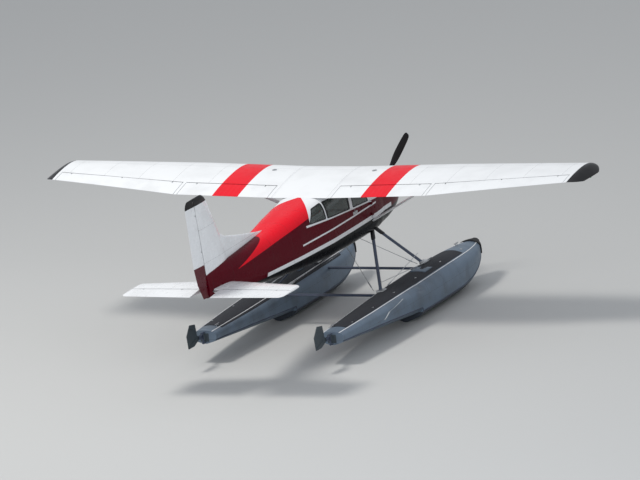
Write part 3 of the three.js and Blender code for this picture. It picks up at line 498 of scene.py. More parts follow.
def plain(name, colour, roughness=0.5, metallic=0.0, grain=30.0, uneven=0.1):
    """A material of one substance, with fine uneven colour and surface."""
    made, tree, shader = new_material(name)
    patches = spread(tree, speckle(tree, grain / 3, 5), 0, 0.5)
    darker = tuple(value * 0.55 for value in colour)
    tree.links.new(over(tree, colour, patches, darker), shader.inputs["Base Color"])
    tree.links.new(spread(tree, speckle(tree, grain), roughness - 0.08, roughness + 0.1),
                   shader.inputs["Roughness"])
    relief(tree, shader, speckle(tree, grain * 4, 2), uneven, 0.002)
    shader.inputs["Metallic"].default_value = metallic
    return made


def give(piece, material, body, slot, *nodes):
    """Finishes a piece: its material, the body it rides on and the CAD nodes it stands for; its slot is not
    used.
    A piece that has paint already keeps it."""
    if material and not any(piece.data.materials):
        piece.data.materials.clear()
        piece.data.materials.append(material)
    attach(piece, body)
    if nodes:
        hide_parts(*nodes)
    return piece


window_glass, pane_tree, pane_shader = new_material("window_glass")
smears = spread(pane_tree, speckle(pane_tree, 3, 4), 0.015, 0.06)
pane_tree.links.new(smears, pane_shader.inputs["Roughness"])
pane_shader.inputs["Base Color"].default_value = (0.34, 0.4, 0.37, 1)
pane_shader.inputs["Transmission Weight"].default_value = 0.9
pane_shader.inputs["IOR"].default_value = 1.49
bead_rubber = plain("bead_rubber", (0.016, 0.016, 0.017), 0.7)
bare_metal = plain("bare_metal", (0.52, 0.53, 0.54), 0.35, 1.0, 60)

HINGE_LINE = (0.575, 1.645)  # across and along, of the doors' upright hinge line
HINGE_HEIGHTS = (1.85, 2.07)
PIN, PIN_PAST = 0.005, 0.006
ARM_LENGTH, ARM_SPREAD, ARM_THICK = 0.045, 0.04, 0.012
EYE_HALF, EYE_RADIUS = 0.026, 0.011
ARM_ROOT, EYE_ROOT, HINGE_OUT = 0.53, 0.54, 0.006  # where arms and eyes start and end, across
# A recessed pull handle behind the door's window, as blocks with their rounding, and a small lock over it
HANDLE = [
    ((0.55, 1.06, 2.05), (0.565, 1.17, 2.075), 0.006),
    ((0.545, 1.03, 2.035), (0.562, 1.2, 2.09), 0.007),
]
LOCK = ((0.545, 1.09, 2.115), (0.566, 1.09, 2.115))

screen_plate = side_plate(SCREEN, (-PAST_SIDE, PAST_SIDE))
screen = carve(twin(pane_skin, "windshield_pane"), screen_plate, "INTERSECT", keep_cutter=True)
give(screen, window_glass, "airframe", "window_glass", "windshield")
cabin = carve(twin(shell, "cabin_body"), screen_plate)

hinge_form = bmesh.new()
for name, side in SIDES:
    leaf = [(y + (DOOR_CLEAR if y < 1 else -DOOR_CLEAR), z + (DOOR_CLEAR if z < 1.7 else -DOOR_CLEAR))
            for y, z in DOOR]
    door = cut_side(twin(shell, f"door_{name}_leaf"), leaf, side, "INTERSECT")
    cut_side(cabin, DOOR, side)
    for place, outline in WINDOWS.items():
        body, owner = (f"door_{name}", door) if place == "door" else ("airframe", cabin)
        cut_side(owner, outline, side)
        pane = cut_side(twin(pane_skin, f"{place}_pane_{name}"), grown(outline, 0.004), side, "INTERSECT")
        give(pane, window_glass, body, "window_glass", f"{place}_window_{name}")
        bead = cut_side(twin(bead_skin, f"{place}_bead_{name}"), grown(outline, 0.012), side, "INTERSECT")
        cut_side(bead, grown(outline, -0.006), side)
        give(bead, bead_rubber, body, "bumper_rubber")
    give(door, None, f"door_{name}", "red_paint", f"door_{name}")

    x, y = side * HINGE_LINE[0], HINGE_LINE[1] + REAR_EDGE
    outer = x + side * HINGE_OUT
    arms = bmesh.new()
    for z in HINGE_HEIGHTS:
        add_pin(arms, (x, y, z), UP, ARM_SPREAD + PIN_PAST, PIN, 16)
        for end in (z - ARM_SPREAD, z + ARM_SPREAD):
            add_block(arms, (side * ARM_ROOT, y - ARM_LENGTH, end - ARM_THICK / 2),
                      (outer, y + 0.004, end + ARM_THICK / 2), 0.002)
        add_pin(hinge_form, (x, y, z), UP, EYE_HALF, EYE_RADIUS, 20)
        add_block(hinge_form, (side * EYE_ROOT, y + 0.004, z - EYE_HALF),
                  (outer, y + ARM_LENGTH, z + EYE_HALF), 0.003)
    give(as_piece(f"door_{name}_arms", arms), fuselage_paint, f"door_{name}", "red_paint")

    handle = bmesh.new()
    for low, high, rounding in HANDLE:
        add_block(handle, *on_side(side, low, high), rounding)
    add_bar(handle, *on_side(side, *LOCK), 0.011, segments=16)
    give(as_piece(f"door_handle_{name}", handle), bare_metal, f"door_{name}", "bare_steel")
give(cabin, None, "airframe", "red_paint", "cabin_shell")
give(as_piece("hinge_eyes", hinge_form), fuselage_paint, "airframe", "red_paint")
for spare in (shell, pane_skin, bead_skin):
    bpy.data.objects.remove(spare)

# Tailcone. A tapering riveted tube from the cabin to the rudder, with the cabin's paint: a stripe, a black
# belly, and its red painted bright on top as painted sunlight and maroon on the sides as painted shade.
# The stabiliser passes through it.
TAIL = [
    (-0.9403, 0.455, 1.497, 2.53, 3.6, 0.1),
    (-1.6, 0.375, 1.548, 2.44, 3.2, 0.08),
    (-2.6, 0.245, 1.655, 2.372, 2.8, 0.05),
    (-3.3, 0.14, 1.748, 2.325, 2.6, 0),
    (-3.86, 0.046, 1.835, 2.285, 2.4, 0),
]
tailcone = skin("tailcone_body", [hull_ring(row) for row in finer(TAIL, 6)])
give(tailcone, fuselage_paint, "airframe", "red_paint", "tailcone")

# Cockpit. The instrument panel hangs under the windshield on its own frame, with round dials, a radio
# stack and two control yokes on tubes. The panel is moulded plastic over sheet.
PANEL_BACK = 1.96 + REAR_EDGE  # its face towards the seats
PANEL_THICK = 0.045
# Rows: half width, how far behind that face, lowest and highest, rounding
PANEL_BLOCKS = [(0.49, 0, 2.06, 2.3, 0.012), (0.47, PANEL_THICK, 2.296, 2.32, 0.01)]
YOKE_X, YOKE_Z, YOKE_REACH, YOKE_HALF, YOKE_TUBE = 0.245, 2.13, 0.19, 0.12, 0.011
DIAL_ROWS, DIAL_FROM, DIAL_PITCH, DIAL_RADIUS = (2.25, 2.17), 0.16, 0.085, 0.036
RADIO_FROM, RADIO_PITCH, RADIO_HALF, RADIO_TALL = 2.1, 0.045, 0.08, 0.037
panel_plastic = plain("panel_plastic", (0.02, 0.021, 0.023), 0.6)
dial_face = plain("dial_face", BLACK, 0.25)
board = bmesh.new()
for half, behind, low, high, rounding in PANEL_BLOCKS:
    add_block(board, (-half, PANEL_BACK - behind, low), (half, PANEL_BACK + PANEL_THICK, high), rounding)
for side in (-1, 1):
    x, back = side * YOKE_X, PANEL_BACK - YOKE_REACH
    add_bar(board, (x, PANEL_BACK + 0.01, YOKE_Z), (x, back, YOKE_Z - 0.02), YOKE_TUBE, segments=20)
    add_block(board, (x - YOKE_HALF, back - 0.008, YOKE_Z - 0.034),
              (x + YOKE_HALF, back + 0.008, YOKE_Z - 0.006), 0.006)
    for grip in (-YOKE_HALF, YOKE_HALF):
        add_bar(board, (x + grip, back, YOKE_Z - 0.055), (x + grip, back, YOKE_Z + 0.058),
                YOKE_TUBE, 0.008, 14)
give(as_piece("panel_board", board), panel_plastic, "airframe", "panel_plastic", "instrument_panel")
dials = bmesh.new()
for z in DIAL_ROWS:
    for k in range(3):
        for side in (-1, 1):
            x = side * (DIAL_FROM + DIAL_PITCH * k)
            add_pin(dials, (x, PANEL_BACK, z), ALONG, (0.004, 0.01), DIAL_RADIUS, 24)
for k in range(4):
    z = RADIO_FROM + RADIO_PITCH * k
    add_block(dials, (-RADIO_HALF, PANEL_BACK - 0.005, z),
              (RADIO_HALF, PANEL_BACK + 0.01, z + RADIO_TALL), 0.003)
give(as_piece("panel_dials", dials), dial_face, "airframe", "panel_plastic")

# Seats. Two single front seats, a middle bench and a small rear one. Each is a padded cushion and back
# in oxblood cloth on a low metal frame bolted to the floor.
SEAT_UNDER, SEAT_TOP = 0.24, 0.35  # over the floor
SEAT_MARGIN = 0.012
BACK_LEAN = 0.11
LEG_ACROSS, BASE_ACROSS = 0.34, 0.38  # as parts of a seat's width
LEG_BEHIND, LEG_AHEAD, LEG_RADIUS = 0.05, 0.12, 0.012
CLOTH_STEPS = 12
CROWN, SWELL, THREAD = 0.008, 0.008, 0.004
CABIN_FLOOR = BELLY + FLOOR_DEPTH
# Rows: name, middle across, width, foot of the back, cushion length, back height
CHAIRS = [
    ("seat_left", -0.245, 0.4, 1.01, 0.45, 0.56),
    ("seat_right", 0.245, 0.4, 1.01, 0.45, 0.56),
    ("bench_middle", 0, 0.88, 0.19, 0.43, 0.5),
    ("bench_rear", 0, 0.7, -0.6, 0.36, 0.42),
]


def seat_cloth():
    """Woven cloth: two fine crossed waves for the threads, with faded patches and a soft sheen."""
    made, tree, shader = new_material("seat_cloth")
    faded = spread(tree, speckle(tree, 9, 4), 0, 0.6)
    tree.links.new(over(tree, (0.11, 0.03, 0.028), faded, (0.17, 0.06, 0.05)), shader.inputs["Base Color"])
    threads = []
    for direction in ((1, 0, 0), (0, 1, 1)):
        along = number(tree, "MULTIPLY", measured(tree, direction), 2 * math.pi / THREAD)
        threads.append(number(tree, "SINE", along))
    relief(tree, shader, number(tree, "MULTIPLY", *threads), 0.4, 0.001)
    shader.inputs["Roughness"].default_value = 0.9
    shader.inputs["Sheen Weight"].default_value = 0.3
    return made


def refined(piece):
    """Smooths a cushion with one step of subdivision."""
    fine = piece.modifiers.new("fine", "SUBSURF")
    fine.levels = fine.render_levels = 1


def cushion(name, low, high, lean):
    """A padded box: crowned faces, edges pulled in between the corners, and its top shifted by the lean."""
    form = bmesh.new()
    size = Vector(high) - Vector(low)
    bmesh.ops.create_cube(form, size=1)
    bmesh.ops.subdivide_edges(form, edges=form.edges[:], cuts=11, use_grid_fill=True)
    for vertex in form.verts:
        u, v, w = (value * 2 for value in vertex.co)
        puff = [(1 - q ** 4) * (1 - r ** 4) for q, r in ((v, w), (u, w), (u, v))]
        place = (Vector(low) + Vector(high)) / 2
        for k, (part, full) in enumerate(zip((u, v, w), puff)):
            place[k] += size[k] / 2 * part * 0.96 + math.copysign(abs(part) ** 6, part) * CROWN * full
        vertex.co = place + Vector((0, -lean * (w + 1) / 2, 0))
    bmesh.ops.smooth_vert(form, verts=form.verts, factor=0.5, use_axis_x=True, use_axis_y=True,
                          use_axis_z=True)
    piece = as_piece(name, form, 180)
    refined(piece)
    return piece


def swell(piece):
    """Blows a cushion up with cloth simulation, no point moving farther than the swell."""
    start = [vertex.co.copy() for vertex in piece.data.vertices]
    piece.modifiers.clear()
    cloth = piece.modifiers.new("cloth", "CLOTH")
    cloth.settings.quality = 4
    cloth.settings.use_pressure = True
    cloth.settings.uniform_pressure_force = 4
    cloth.settings.effector_weights.gravity = 0
    for step in range(1, CLOTH_STEPS + 1):
        bpy.context.scene.frame_set(step)
    blown = piece.evaluated_get(bpy.context.evaluated_depsgraph_get())
    ends = [vertex.co.copy() for vertex in blown.data.vertices]
    piece.modifiers.clear()
    for vertex, first, last in zip(piece.data.vertices, start, ends):
        moved = last - first
        vertex.co = first + moved * min(1, SWELL / max(moved.length, 1e-6))
    refined(piece)
    bpy.context.scene.frame_set(1)


cloth_weave = seat_cloth()
frame_metal = plain("seat_frame_metal", (0.14, 0.14, 0.15), 0.45, 0.8)
for name, x, width, foot, length, height in CHAIRS:
    y = foot + REAR_EDGE
    under, level = CABIN_FLOOR + SEAT_UNDER, CABIN_FLOOR + SEAT_TOP
    base = bmesh.new()
    for foot_x in (x - width * LEG_ACROSS, x + width * LEG_ACROSS):
        for leg in (y + LEG_BEHIND, y + length - LEG_AHEAD):
            add_bar(base, (foot_x, leg, CABIN_FLOOR + 0.012), (foot_x, leg, under + 0.01), LEG_RADIUS,
                    segments=14)
    add_block(base, (x - width * BASE_ACROSS, y + 0.02, under - 0.012),
              (x + width * BASE_ACROSS, y + length - 0.09, under + 0.01), 0.004)
    give(as_piece(f"{name}_frame", base), frame_metal, "airframe", "chair_fabric")
    # A bench has two cushions side by side
    places = 1 if width < 0.5 else 2
    for k in range(places):
        left = x - width / 2 + width * k / places + SEAT_MARGIN
        right = x - width / 2 + width * (k + 1) / places - SEAT_MARGIN
        seat_pad = cushion(f"{name}_cushion_{k + 1}", (left, y + 0.03, under + 0.006),
                           (right, y + length - SEAT_MARGIN, level - 0.006), 0)
        back_pad = cushion(f"{name}_back_{k + 1}", (left, y - 0.05, level - 0.03),
                           (right, y + 0.045, level + height - 0.07), BACK_LEAN)
        for pad in (seat_pad, back_pad):
            swell(pad)
            give(pad, cloth_weave, "airframe", "chair_fabric", name)

# Nose. The cowling is formed sheet round the engine, closed by screws, with two oval cooling inlets
# beside the spinner, an outlet with two flaps underneath and the exhaust pipe through it.
COWL = [
    (2.2103, 0.52, 1.475, 2.33, 4, 0.08),
    (2.6, 0.505, 1.525, 2.315, 3.6, 0.1),
    (2.95, 0.45, 1.61, 2.28, 3.2, 0.1),
    (3.18, 0.36, 1.725, 2.235, 3, 0.1),
    (3.265, 0.27, 1.82, 2.185, 2.6, 0.1),
]
COWL_WALL = 0.014
THRUST = 2.05
INLET_X, INLET_RISE, INLET, INLET_ALONG = 0.205, 0.015, (0.066, 0.052), (3.1, 3.4)
OUTLET_HALF, OUTLET_ALONG, OUTLET_Z = 0.33, (2.21, 2.44), (1.425, 1.56)
SHAFT_HOLE, PIPE_CLEAR, PIPE_WALL, PIPE_BORE = 0.065, 0.008, 0.004, 0.12
FLAP_NEAR, FLAP_FAR, FLAP_HINGE_Z, FLAP_LIP_Z = 0.02, 0.2, 1.512, 1.469  # the nearly closed flaps
FLAP_THICK, LIP_BEAD = 0.003, 0.008
PIPE, PIPE_RADIUS = ((0.25, 2.307, 1.385), (0.25, 2.405, 1.88)), 0.034
SCREW_POINTS = (3, 14, 21, 32, 39, 50, 57, 68)  # of the 72 points round the cowling


def turns(count, shift=0):
    """Angles that go once round in even steps."""
    return [2 * math.pi * (k + shift) / count for k in range(count)]


def oval(middle, half, count=32):
    """Points on an upright oval that faces forward."""
    return [(middle[0] + half[0] * math.cos(turn), middle[1], middle[2] + half[1] * math.sin(turn))
            for turn in turns(count)]


def circle(at, radius, one_way, other_way, count):
    """Points on a circle round a place, in the plane of two directions."""
    return [tuple(at + radius * (math.cos(turn) * one_way + math.sin(turn) * other_way))
            for turn in turns(count)]


def hoop(name, places, outward, radius):
    """A closed round bead that runs through places, with its section turned to face outward."""
    rings = [circle(Vector(place), radius, out.normalized(), Vector(ALONG), 12)
             for place, out in zip(places, outward)]
    return skin(name, rings + rings[:1], 60)


def placed(x, along, z):
    """A point from its place across, its place along and its height."""
    return Vector((x, along + REAR_EDGE, z))


# The cowl's top takes the red's bright sunlit copy over the maroon: painted sunlight above, painted shade on
# the sides
COWL_REGIONS = [(RED, [(UP, 2.2, 4)]), *FUSELAGE_REGIONS[2:]]
cowl_paint = sheet_paint(
    "cowl_paint", SHADED_RED, COWL_REGIONS, [(ALONG, 0.55, 2.87), (UP, 0.9, THRUST)], roughness=0.3, coat=0.03,
    grime=0.12, shine=0.12)
soot = plain("cowl_inside", (0.012, 0.012, 0.012), 0.8)
cowl_form = skin_form([hull_ring(row) for row in finer(COWL, 6, curved=True)])
front_rim = [edge for edge in cowl_form.edges
             if all(vertex.co.y > COWL[-1][0] + REAR_EDGE - 0.001 for vertex in edge.verts)]
round_off(cowl_form, front_rim, 0.016, 4)
cowl = as_piece("cowl_body", cowl_form)
cowl.data.materials.append(cowl_paint)
hollow_rows = [(2.15, *COWL[0][1:]), *COWL[:-1], (3.235, 0.29, 1.8, 2.2, 2.6, 0.1)]
hollow = skin("cowl_hollow", [hull_ring(row, COWL_WALL) for row in finer(hollow_rows, 4)])
hollow.data.materials.append(soot)
carve(cowl, hollow)
for name, side in SIDES:
    x, z = side * INLET_X, THRUST + INLET_RISE
    carve(cowl, skin("inlet", [oval((x, y + REAR_EDGE, z), INLET) for y in INLET_ALONG]))
    lip = oval((x, COWL[-1][0] + REAR_EDGE - 0.002, z), (INLET[0] + 0.004, INLET[1] + 0.004))
    away = [Vector(point) - Vector((x, point[1], z)) for point in lip]
    give(hoop(f"inlet_lip_{name}", lip, away, LIP_BEAD), cowl_paint, "airframe", "red_paint")
outlet_rear, outlet_front = [y + REAR_EDGE for y in OUTLET_ALONG]
pipe_low, pipe_high = [placed(*end) for end in PIPE]
pipe_axis = (pipe_high - pipe_low).normalized()
drill(cowl, (0, sum(INLET_ALONG) / 2, THRUST), ALONG, 0.15, SHAFT_HOLE, 40)
cut_block(cowl, (-OUTLET_HALF, outlet_rear, OUTLET_Z[0]), (OUTLET_HALF, outlet_front, OUTLET_Z[1]))
drill(cowl, pipe_low, pipe_axis, (0, (pipe_high - pipe_low).length), PIPE_RADIUS + PIPE_CLEAR)
give(cowl, cowl_paint, "airframe", "red_paint", "cowling")

flaps = bmesh.new()
for side in (-1, 1):
    plate = [(side * x, y, z) for x, y, z in (
        (FLAP_NEAR, outlet_front - 0.005, FLAP_HINGE_Z), (FLAP_FAR, outlet_front - 0.005, FLAP_HINGE_Z),
        (FLAP_FAR, outlet_rear + 0.02, FLAP_LIP_Z), (FLAP_NEAR, outlet_rear + 0.02, FLAP_LIP_Z))]
    flaps.faces.new([flaps.verts.new(point) for point in plate])
bmesh.ops.recalc_face_normals(flaps, faces=flaps.faces)
bmesh.ops.solidify(flaps, geom=flaps.faces[:], thickness=FLAP_THICK)
give(as_piece("cowl_flaps", flaps), cowl_paint, "airframe", "red_paint")

burnt_steel = plain("burnt_steel", (0.2, 0.13, 0.09), 0.5, 0.9, 40)
pipe_side = pipe_axis.orthogonal().normalized()
pipe_rings = [(pipe_high, PIPE_RADIUS), (pipe_low, PIPE_RADIUS), (pipe_low, PIPE_RADIUS - PIPE_WALL),
              (pipe_low + pipe_axis * PIPE_BORE, PIPE_RADIUS - PIPE_WALL)]
pipe = skin("exhaust_tube", [circle(at, radius, pipe_side, pipe_axis.cross(pipe_side), 32)
                             for at, radius in pipe_rings])
give(pipe, burnt_steel, "airframe", "bare_steel", "exhaust_pipe")
engine_grey = plain("engine_grey", (0.09, 0.09, 0.095), 0.6, 0.5)
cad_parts["engine_block"].data.materials.clear()
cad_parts["engine_block"].data.materials.append(engine_grey)

# Screws that close the cowling, in eight rows along it
screws = bmesh.new()
for row in finer(COWL, 6, curved=True)[1:-3:2]:
    ring = hull_ring(row)
    for k in SCREW_POINTS:
        point = Vector(ring[k])
        outward = Vector((point.x, 0, point.z - (row[2] + row[3]) / 2)).normalized()
        add_pin(screws, point, outward, (0.003, 0.002), 0.006, 8)
give(as_piece("cowl_screws", screws), bare_metal, "airframe", "red_paint")

# Propeller. Two forged metal blades, matt black, in a hub under a pointed red spinner that turns
# with them on its back plate.
HUB_Y = 3.345 + REAR_EDGE
HUB_MIDDLE = Vector((0, HUB_Y, THRUST))
HUB_RADIUS, SHAFT_RADIUS = 0.078, 0.043
SOCKET, SOCKET_REACH, SPINNER_HOLE = (0.04, 0.036), 0.13, 0.048  # radii at the blade's foot
BLADE_RADIUS = 1.04
FIRST_BLADE = math.radians(56)
BLADE_COUNT = 2
SPINNER_RADIUS, SPINNER_BACK, SPINNER_TIP = 0.165, 3.29 + REAR_EDGE, 3.68 + REAR_EDGE
SPINNER_STEPS = 20
# Rows: part of the radius, chord, thickness, pitch in degrees
BLADE = [
    (0.07, 0.062, 0.058, 62),
    (0.17, 0.084, 0.044, 50),
    (0.45, 0.172, 0.024, 30),
    (0.75, 0.16, 0.014, 21),
    (0.95, 0.124, 0.009, 17),
    (1, 0.062, 0.006, 16),
]
blade_paint = sheet_paint("blade_paint", BLACK, roughness=0.5, grime=0.12, ripple=0.1, shine=0.15)


def blade_rings(out):
    """Sections of one blade from its root to its tip, as it points out from the hub."""
    around_hub = Vector((-out.z, 0, out.x))
    rings = []
    for part, chord, thick, pitch in finer(BLADE, 6, curved=True):
        lean = math.radians(pitch)
        middle = HUB_MIDDLE + out * min(part, 1) * BLADE_RADIUS
        ring = []
        for turn in turns(28):
            a, b = chord / 2 * math.cos(turn), thick / 2 * math.sin(turn)
            ring.append(tuple(middle + around_hub * (a * math.cos(lean) - b * math.sin(lean))
                              + Vector(ALONG) * (a * math.sin(lean) + b * math.cos(lean))))
        rings.append(ring)
    return rings


spun = bmesh.new()
profile = [(0, SPINNER_BACK), (SPINNER_RADIUS - 0.004, SPINNER_BACK)]
for k in range(SPINNER_STEPS + 1):
    part = k / SPINNER_STEPS
    radius = SPINNER_RADIUS * math.sqrt(1 - part ** 1.7)
    profile.append((radius, SPINNER_BACK + part * (SPINNER_TIP - SPINNER_BACK)))
line = [spun.verts.new((radius, y, THRUST)) for radius, y in profile]
edges = [spun.edges.new(pair) for pair in zip(line, line[1:])]
bmesh.ops.spin(spun, geom=line + edges, cent=(0, 0, THRUST), axis=ALONG, angle=2 * math.pi, steps=48,
               use_merge=True)
bmesh.ops.remove_doubles(spun, verts=spun.verts, dist=1e-5)
bmesh.ops.recalc_face_normals(spun, faces=spun.faces)
spinner = as_piece("spinner_dome", spun)
spinner_paint = sheet_paint("spinner_paint", RED, roughness=0.18, coat=0.7, grime=0.15)
hub = bmesh.new()
add_bar(hub, (0, SPINNER_BACK + 0.005, THRUST), (0, HUB_Y + 0.06, THRUST), HUB_RADIUS, segments=40)
add_bar(hub, (0, 3.3, THRUST), (0, SPINNER_BACK + 0.01, THRUST), SHAFT_RADIUS, segments=32)
for k in range(BLADE_COUNT):
    turn = FIRST_BLADE + 2 * math.pi * k / BLADE_COUNT
    out = Vector((math.cos(turn), 0, math.sin(turn)))
    blade = skin(f"blade_{k + 1}", blade_rings(out), 50)
    give(blade, blade_paint, "propeller", "blade_paint", "propeller")
    drill(spinner, HUB_MIDDLE, out, (-0.06, 0.26), SPINNER_HOLE)
    add_bar(hub, HUB_MIDDLE, HUB_MIDDLE + out * SOCKET_REACH, *SOCKET, 28)
give(spinner, spinner_paint, "propeller", "red_paint", "spinner")
give(as_piece("propeller_hub", hub), bare_metal, "propeller", "blade_paint")

# Wings. Two halves of thin aluminium sheet, riveted over ribs and spars, bolted to a roof panel of the
# same section. Their rear part opens for a slotted flap and an aileron, which hang on short arms.
ROOT_X, TAPER_X, PANEL_END_X, TIP_X = 0.565, 2.54, 5.23, 5.46
ROOT_CHORD, TIP_CHORD = 1.626, 1.12
NOSE_SWEEP = 0.128
WING_REAR_HEIGHT = 2.62
INCIDENCE, WASHOUT, DIHEDRAL = math.radians(4), math.radians(2.6), math.radians(1.6)
CAMBER, CAMBER_AT, THICKNESS = 0.02, 0.4, 0.12
HINGE_AT = 0.74  # as a part of the chord
WING_NOSE = 0.97  # nose radius of flap and aileron, as a part of the half thickness at their hinge
RUN_CLEAR, END_CLEAR = 0.009, 0.012
HAIR = 0.0003  # between pieces whose faces would meet
SLOT_HALF, SLOT_CLEAR, HANGER_HALF, HANGER_REACH, PIN_HALF = 0.012, 0.011, 0.006, 0.034, 0.0145
# Rows: part, its ends across, and the places of its arms as parts of its length
WING_FLAPS = [
    ("flap", (0.64, 2.5), (0.12, 0.88)),
    ("aileron", (2.56, 5.17), (0.08, 0.5, 0.92)),
]
BANDS = [(RED, [(ACROSS, 1.25, 1.77)])]


def mix(a, b, part):
    """A value between two others."""
    return a + (b - a) * part


def airfoil(u, thickness, camber):
    """Half thickness and camber line at u, all as parts of the chord."""
    half = 5 * thickness * (0.2969 * math.sqrt(u) - 0.126 * u - 0.3516 * u ** 2 + 0.2843 * u ** 3
                            - 0.1015 * u ** 4)
    reach = CAMBER_AT if u < CAMBER_AT else 1 - CAMBER_AT
    start = 0 if u < CAMBER_AT else 1 - 2 * CAMBER_AT
    return half, camber / reach ** 2 * (start + 2 * CAMBER_AT * u - u ** 2)


def airfoil_outline(chord, grow, thickness, camber, count=22):
    """Its outline from the rear edge over the top to the nose and back, as (back, up) from the nose."""
    outline = []
    for k in range(2 * count + 1):
        u = (1 + math.cos(math.pi * k / count)) / 2
        half, line = airfoil(u, thickness, camber)
        side = 0 if k == count else (1 if k < count else -1)
        outline.append((u * chord + (2 * u - 1) * grow, line * chord + side * (half * chord + grow)))
    return outline


def taper_part(x):
    """How far out in the tapered part of the wing a place is, from 0 to 1."""
    return max(0, (abs(x) - TAPER_X) / (PANEL_END_X - TAPER_X))


def wing_point(x, back, up):
    """A place on the wing, from how far back and up it lies from the leading edge."""
    angle = INCIDENCE - WASHOUT * taper_part(x)
    rise = max(0, abs(x) - ROOT_X) * math.tan(DIHEDRAL)
    nose_y = ROOT_CHORD * math.cos(INCIDENCE) - NOSE_SWEEP * taper_part(x)
    nose_z = WING_REAR_HEIGHT + ROOT_CHORD * math.sin(INCIDENCE) + rise
    return (x, nose_y - back * math.cos(angle) - up * math.sin(angle) + REAR_EDGE,
            nose_z - back * math.sin(angle) + up * math.cos(angle))


def wing_chord(x):
    """The chord at a place along the wing."""
    return mix(ROOT_CHORD, TIP_CHORD, taper_part(x))


def wing_ring(x, grow=0.0):
    """The wing's section at a place along it."""
    outline = airfoil_outline(wing_chord(x), grow, THICKNESS, CAMBER)
    return [wing_point(x, back, up) for back, up in outline]


def wing_hinge(x):
    """The hinge point of flap and aileron there, and the radius of their nose."""
    chord = wing_chord(x)
    half, line = airfoil(HINGE_AT, THICKNESS, CAMBER)
    return Vector(wing_point(x, HINGE_AT * chord, line * chord)), half * chord * WING_NOSE


def hinge_line(hinge, start, end, across):
    """A hinge line between two stations: its ends, its direction, and which way is ahead of it."""
    first, last = hinge(start)[0], hinge(end)[0]
    axis = (last - first).normalized()
    ahead = axis.cross(Vector(across)).normalized()
    if ahead.y < 0:
        ahead.negate()
    return first, last, axis, ahead


def hinge_cutter(hinge, start, end, across, grow, past=0.0):
    """Everything behind a hinge line, with a round nose along it that is grown by a clearance."""
    past = math.copysign(past, end - start)
    start, end = start - past, end + past
    first, last, axis, ahead = hinge_line(hinge, start, end, across)
    upright = axis.cross(ahead)
    rear, wide = Vector((0, -0.9, 0)), Vector(across) * 0.6
    corners = (wide, rear + wide, rear - wide, -wide)
    slab = skin("behind", [[tuple(at + corner) for corner in corners] for at in (first, last)])
    rounds = [circle(at, hinge(station)[1] + grow, ahead, upright, 40)
              for station, at in ((start, first), (end, last))]
    return carve(slab, skin("nose", rounds), "UNION")


def hang(moving, hinge, start, end, across, spots, body, slot):
    """Cuts slots into a moving surface and hangs it on arms with pins, at parts of its length."""
    first, last, axis, ahead = hinge_line(hinge, start, end, across)
    arms, pins = bmesh.new(), bmesh.new()
    for spot in spots:
        at = first.lerp(last, spot)
        radius = hinge(mix(start, end, spot))[1]
        drill(moving, at, axis, SLOT_HALF, radius + SLOT_CLEAR)
        eye = min(0.02, radius * 0.7)
        add_pin(arms, at, axis, HANGER_HALF, eye, 24)
        reach = at + ahead * (radius + HANGER_REACH)
        side, tall = axis * 0.0055, Vector(across) * eye * 0.68
        corners = (side + tall, side - tall, -side - tall, tall - side)
        arm = skin_form([[tuple(place + corner) for corner in corners] for place in (at, reach)])
        arm_mesh = bpy.data.meshes.new("arm")
        arm.to_mesh(arm_mesh)
        arm.free()
        arms.from_mesh(arm_mesh)
        bpy.data.meshes.remove(arm_mesh)
        add_pin(pins, at, axis, PIN_HALF, PIN, 16)
    give(as_piece(f"{moving.name}_arms", arms), bare_metal, "airframe", slot)
    give(as_piece(f"{moving.name}_pins", pins), bare_metal, body, slot)


wing_paint = sheet_paint("wing_paint", WHITE, BANDS, [(ACROSS, 0.74, 0.565), (ALONG, 1.7, 1.27)],
                         roughness=0.34, coat=0.03, grime=0.1, shine=0.1)
beaded_paint = sheet_paint("beaded_paint", WHITE, BANDS, roughness=0.32, coat=0.03, grime=0.14,
                           beads=(ACROSS, 0.095), shine=0.1)
roof = skin("roof_skin", [wing_ring(x) for x in (-ROOT_X, -0.28, 0, 0.28, ROOT_X)])
give(roof, wing_paint, "airframe", "white_paint", "roof_panel")
for side_name, side in SIDES:
    stations = [ROOT_X + HAIR, 1, 1.5, 2, TAPER_X, 3, 3.5, 4, 4.5, 5, PANEL_END_X]
    half_wing = skin(f"wing_{side_name}_skin", [wing_ring(side * x) for x in stations])
    for part, (start, end), spots in WING_FLAPS:
        carve(half_wing, hinge_cutter(wing_hinge, side * start, side * end, UP, RUN_CLEAR))
        start, end = side * (start + END_CLEAR), side * (end - END_CLEAR)
        between = [start + (end - start) * k / 6 for k in range(7)]
        moving = skin(f"{part}_{side_name}_skin", [wing_ring(x) for x in between])
        carve(moving, hinge_cutter(wing_hinge, start, end, UP, 0, past=0.02), "INTERSECT")
        hang(moving, wing_hinge, start, end, UP, spots, f"{part}_{side_name}", "white_paint")
        give(moving, beaded_paint, f"{part}_{side_name}", "white_paint", f"{part}_{side_name}")
    give(half_wing, wing_paint, "airframe", "white_paint", f"wing_{side_name}")
    strip = skin(f"root_strip_{side_name}", [wing_ring(side * x, 0.0025) for x in (0.545, 0.59)])
    give(strip, wing_paint, "airframe", "white_paint")

# Wing tips. Moulded plastic tips, painted black, that droop past the last rib. Each carries a small
# lamp, red on the left and green on the right.
TIP_LAMPS = {"left": (0.6, 0.01, 0.01), "right": (0.01, 0.4, 0.12)}
TIP_LAMP_AT = (5.44, 1.02, 2.782)
TIP_DRAWN_IN, TIP_THINNED, TIP_DROOP = 0.42, 0.8, 0.075


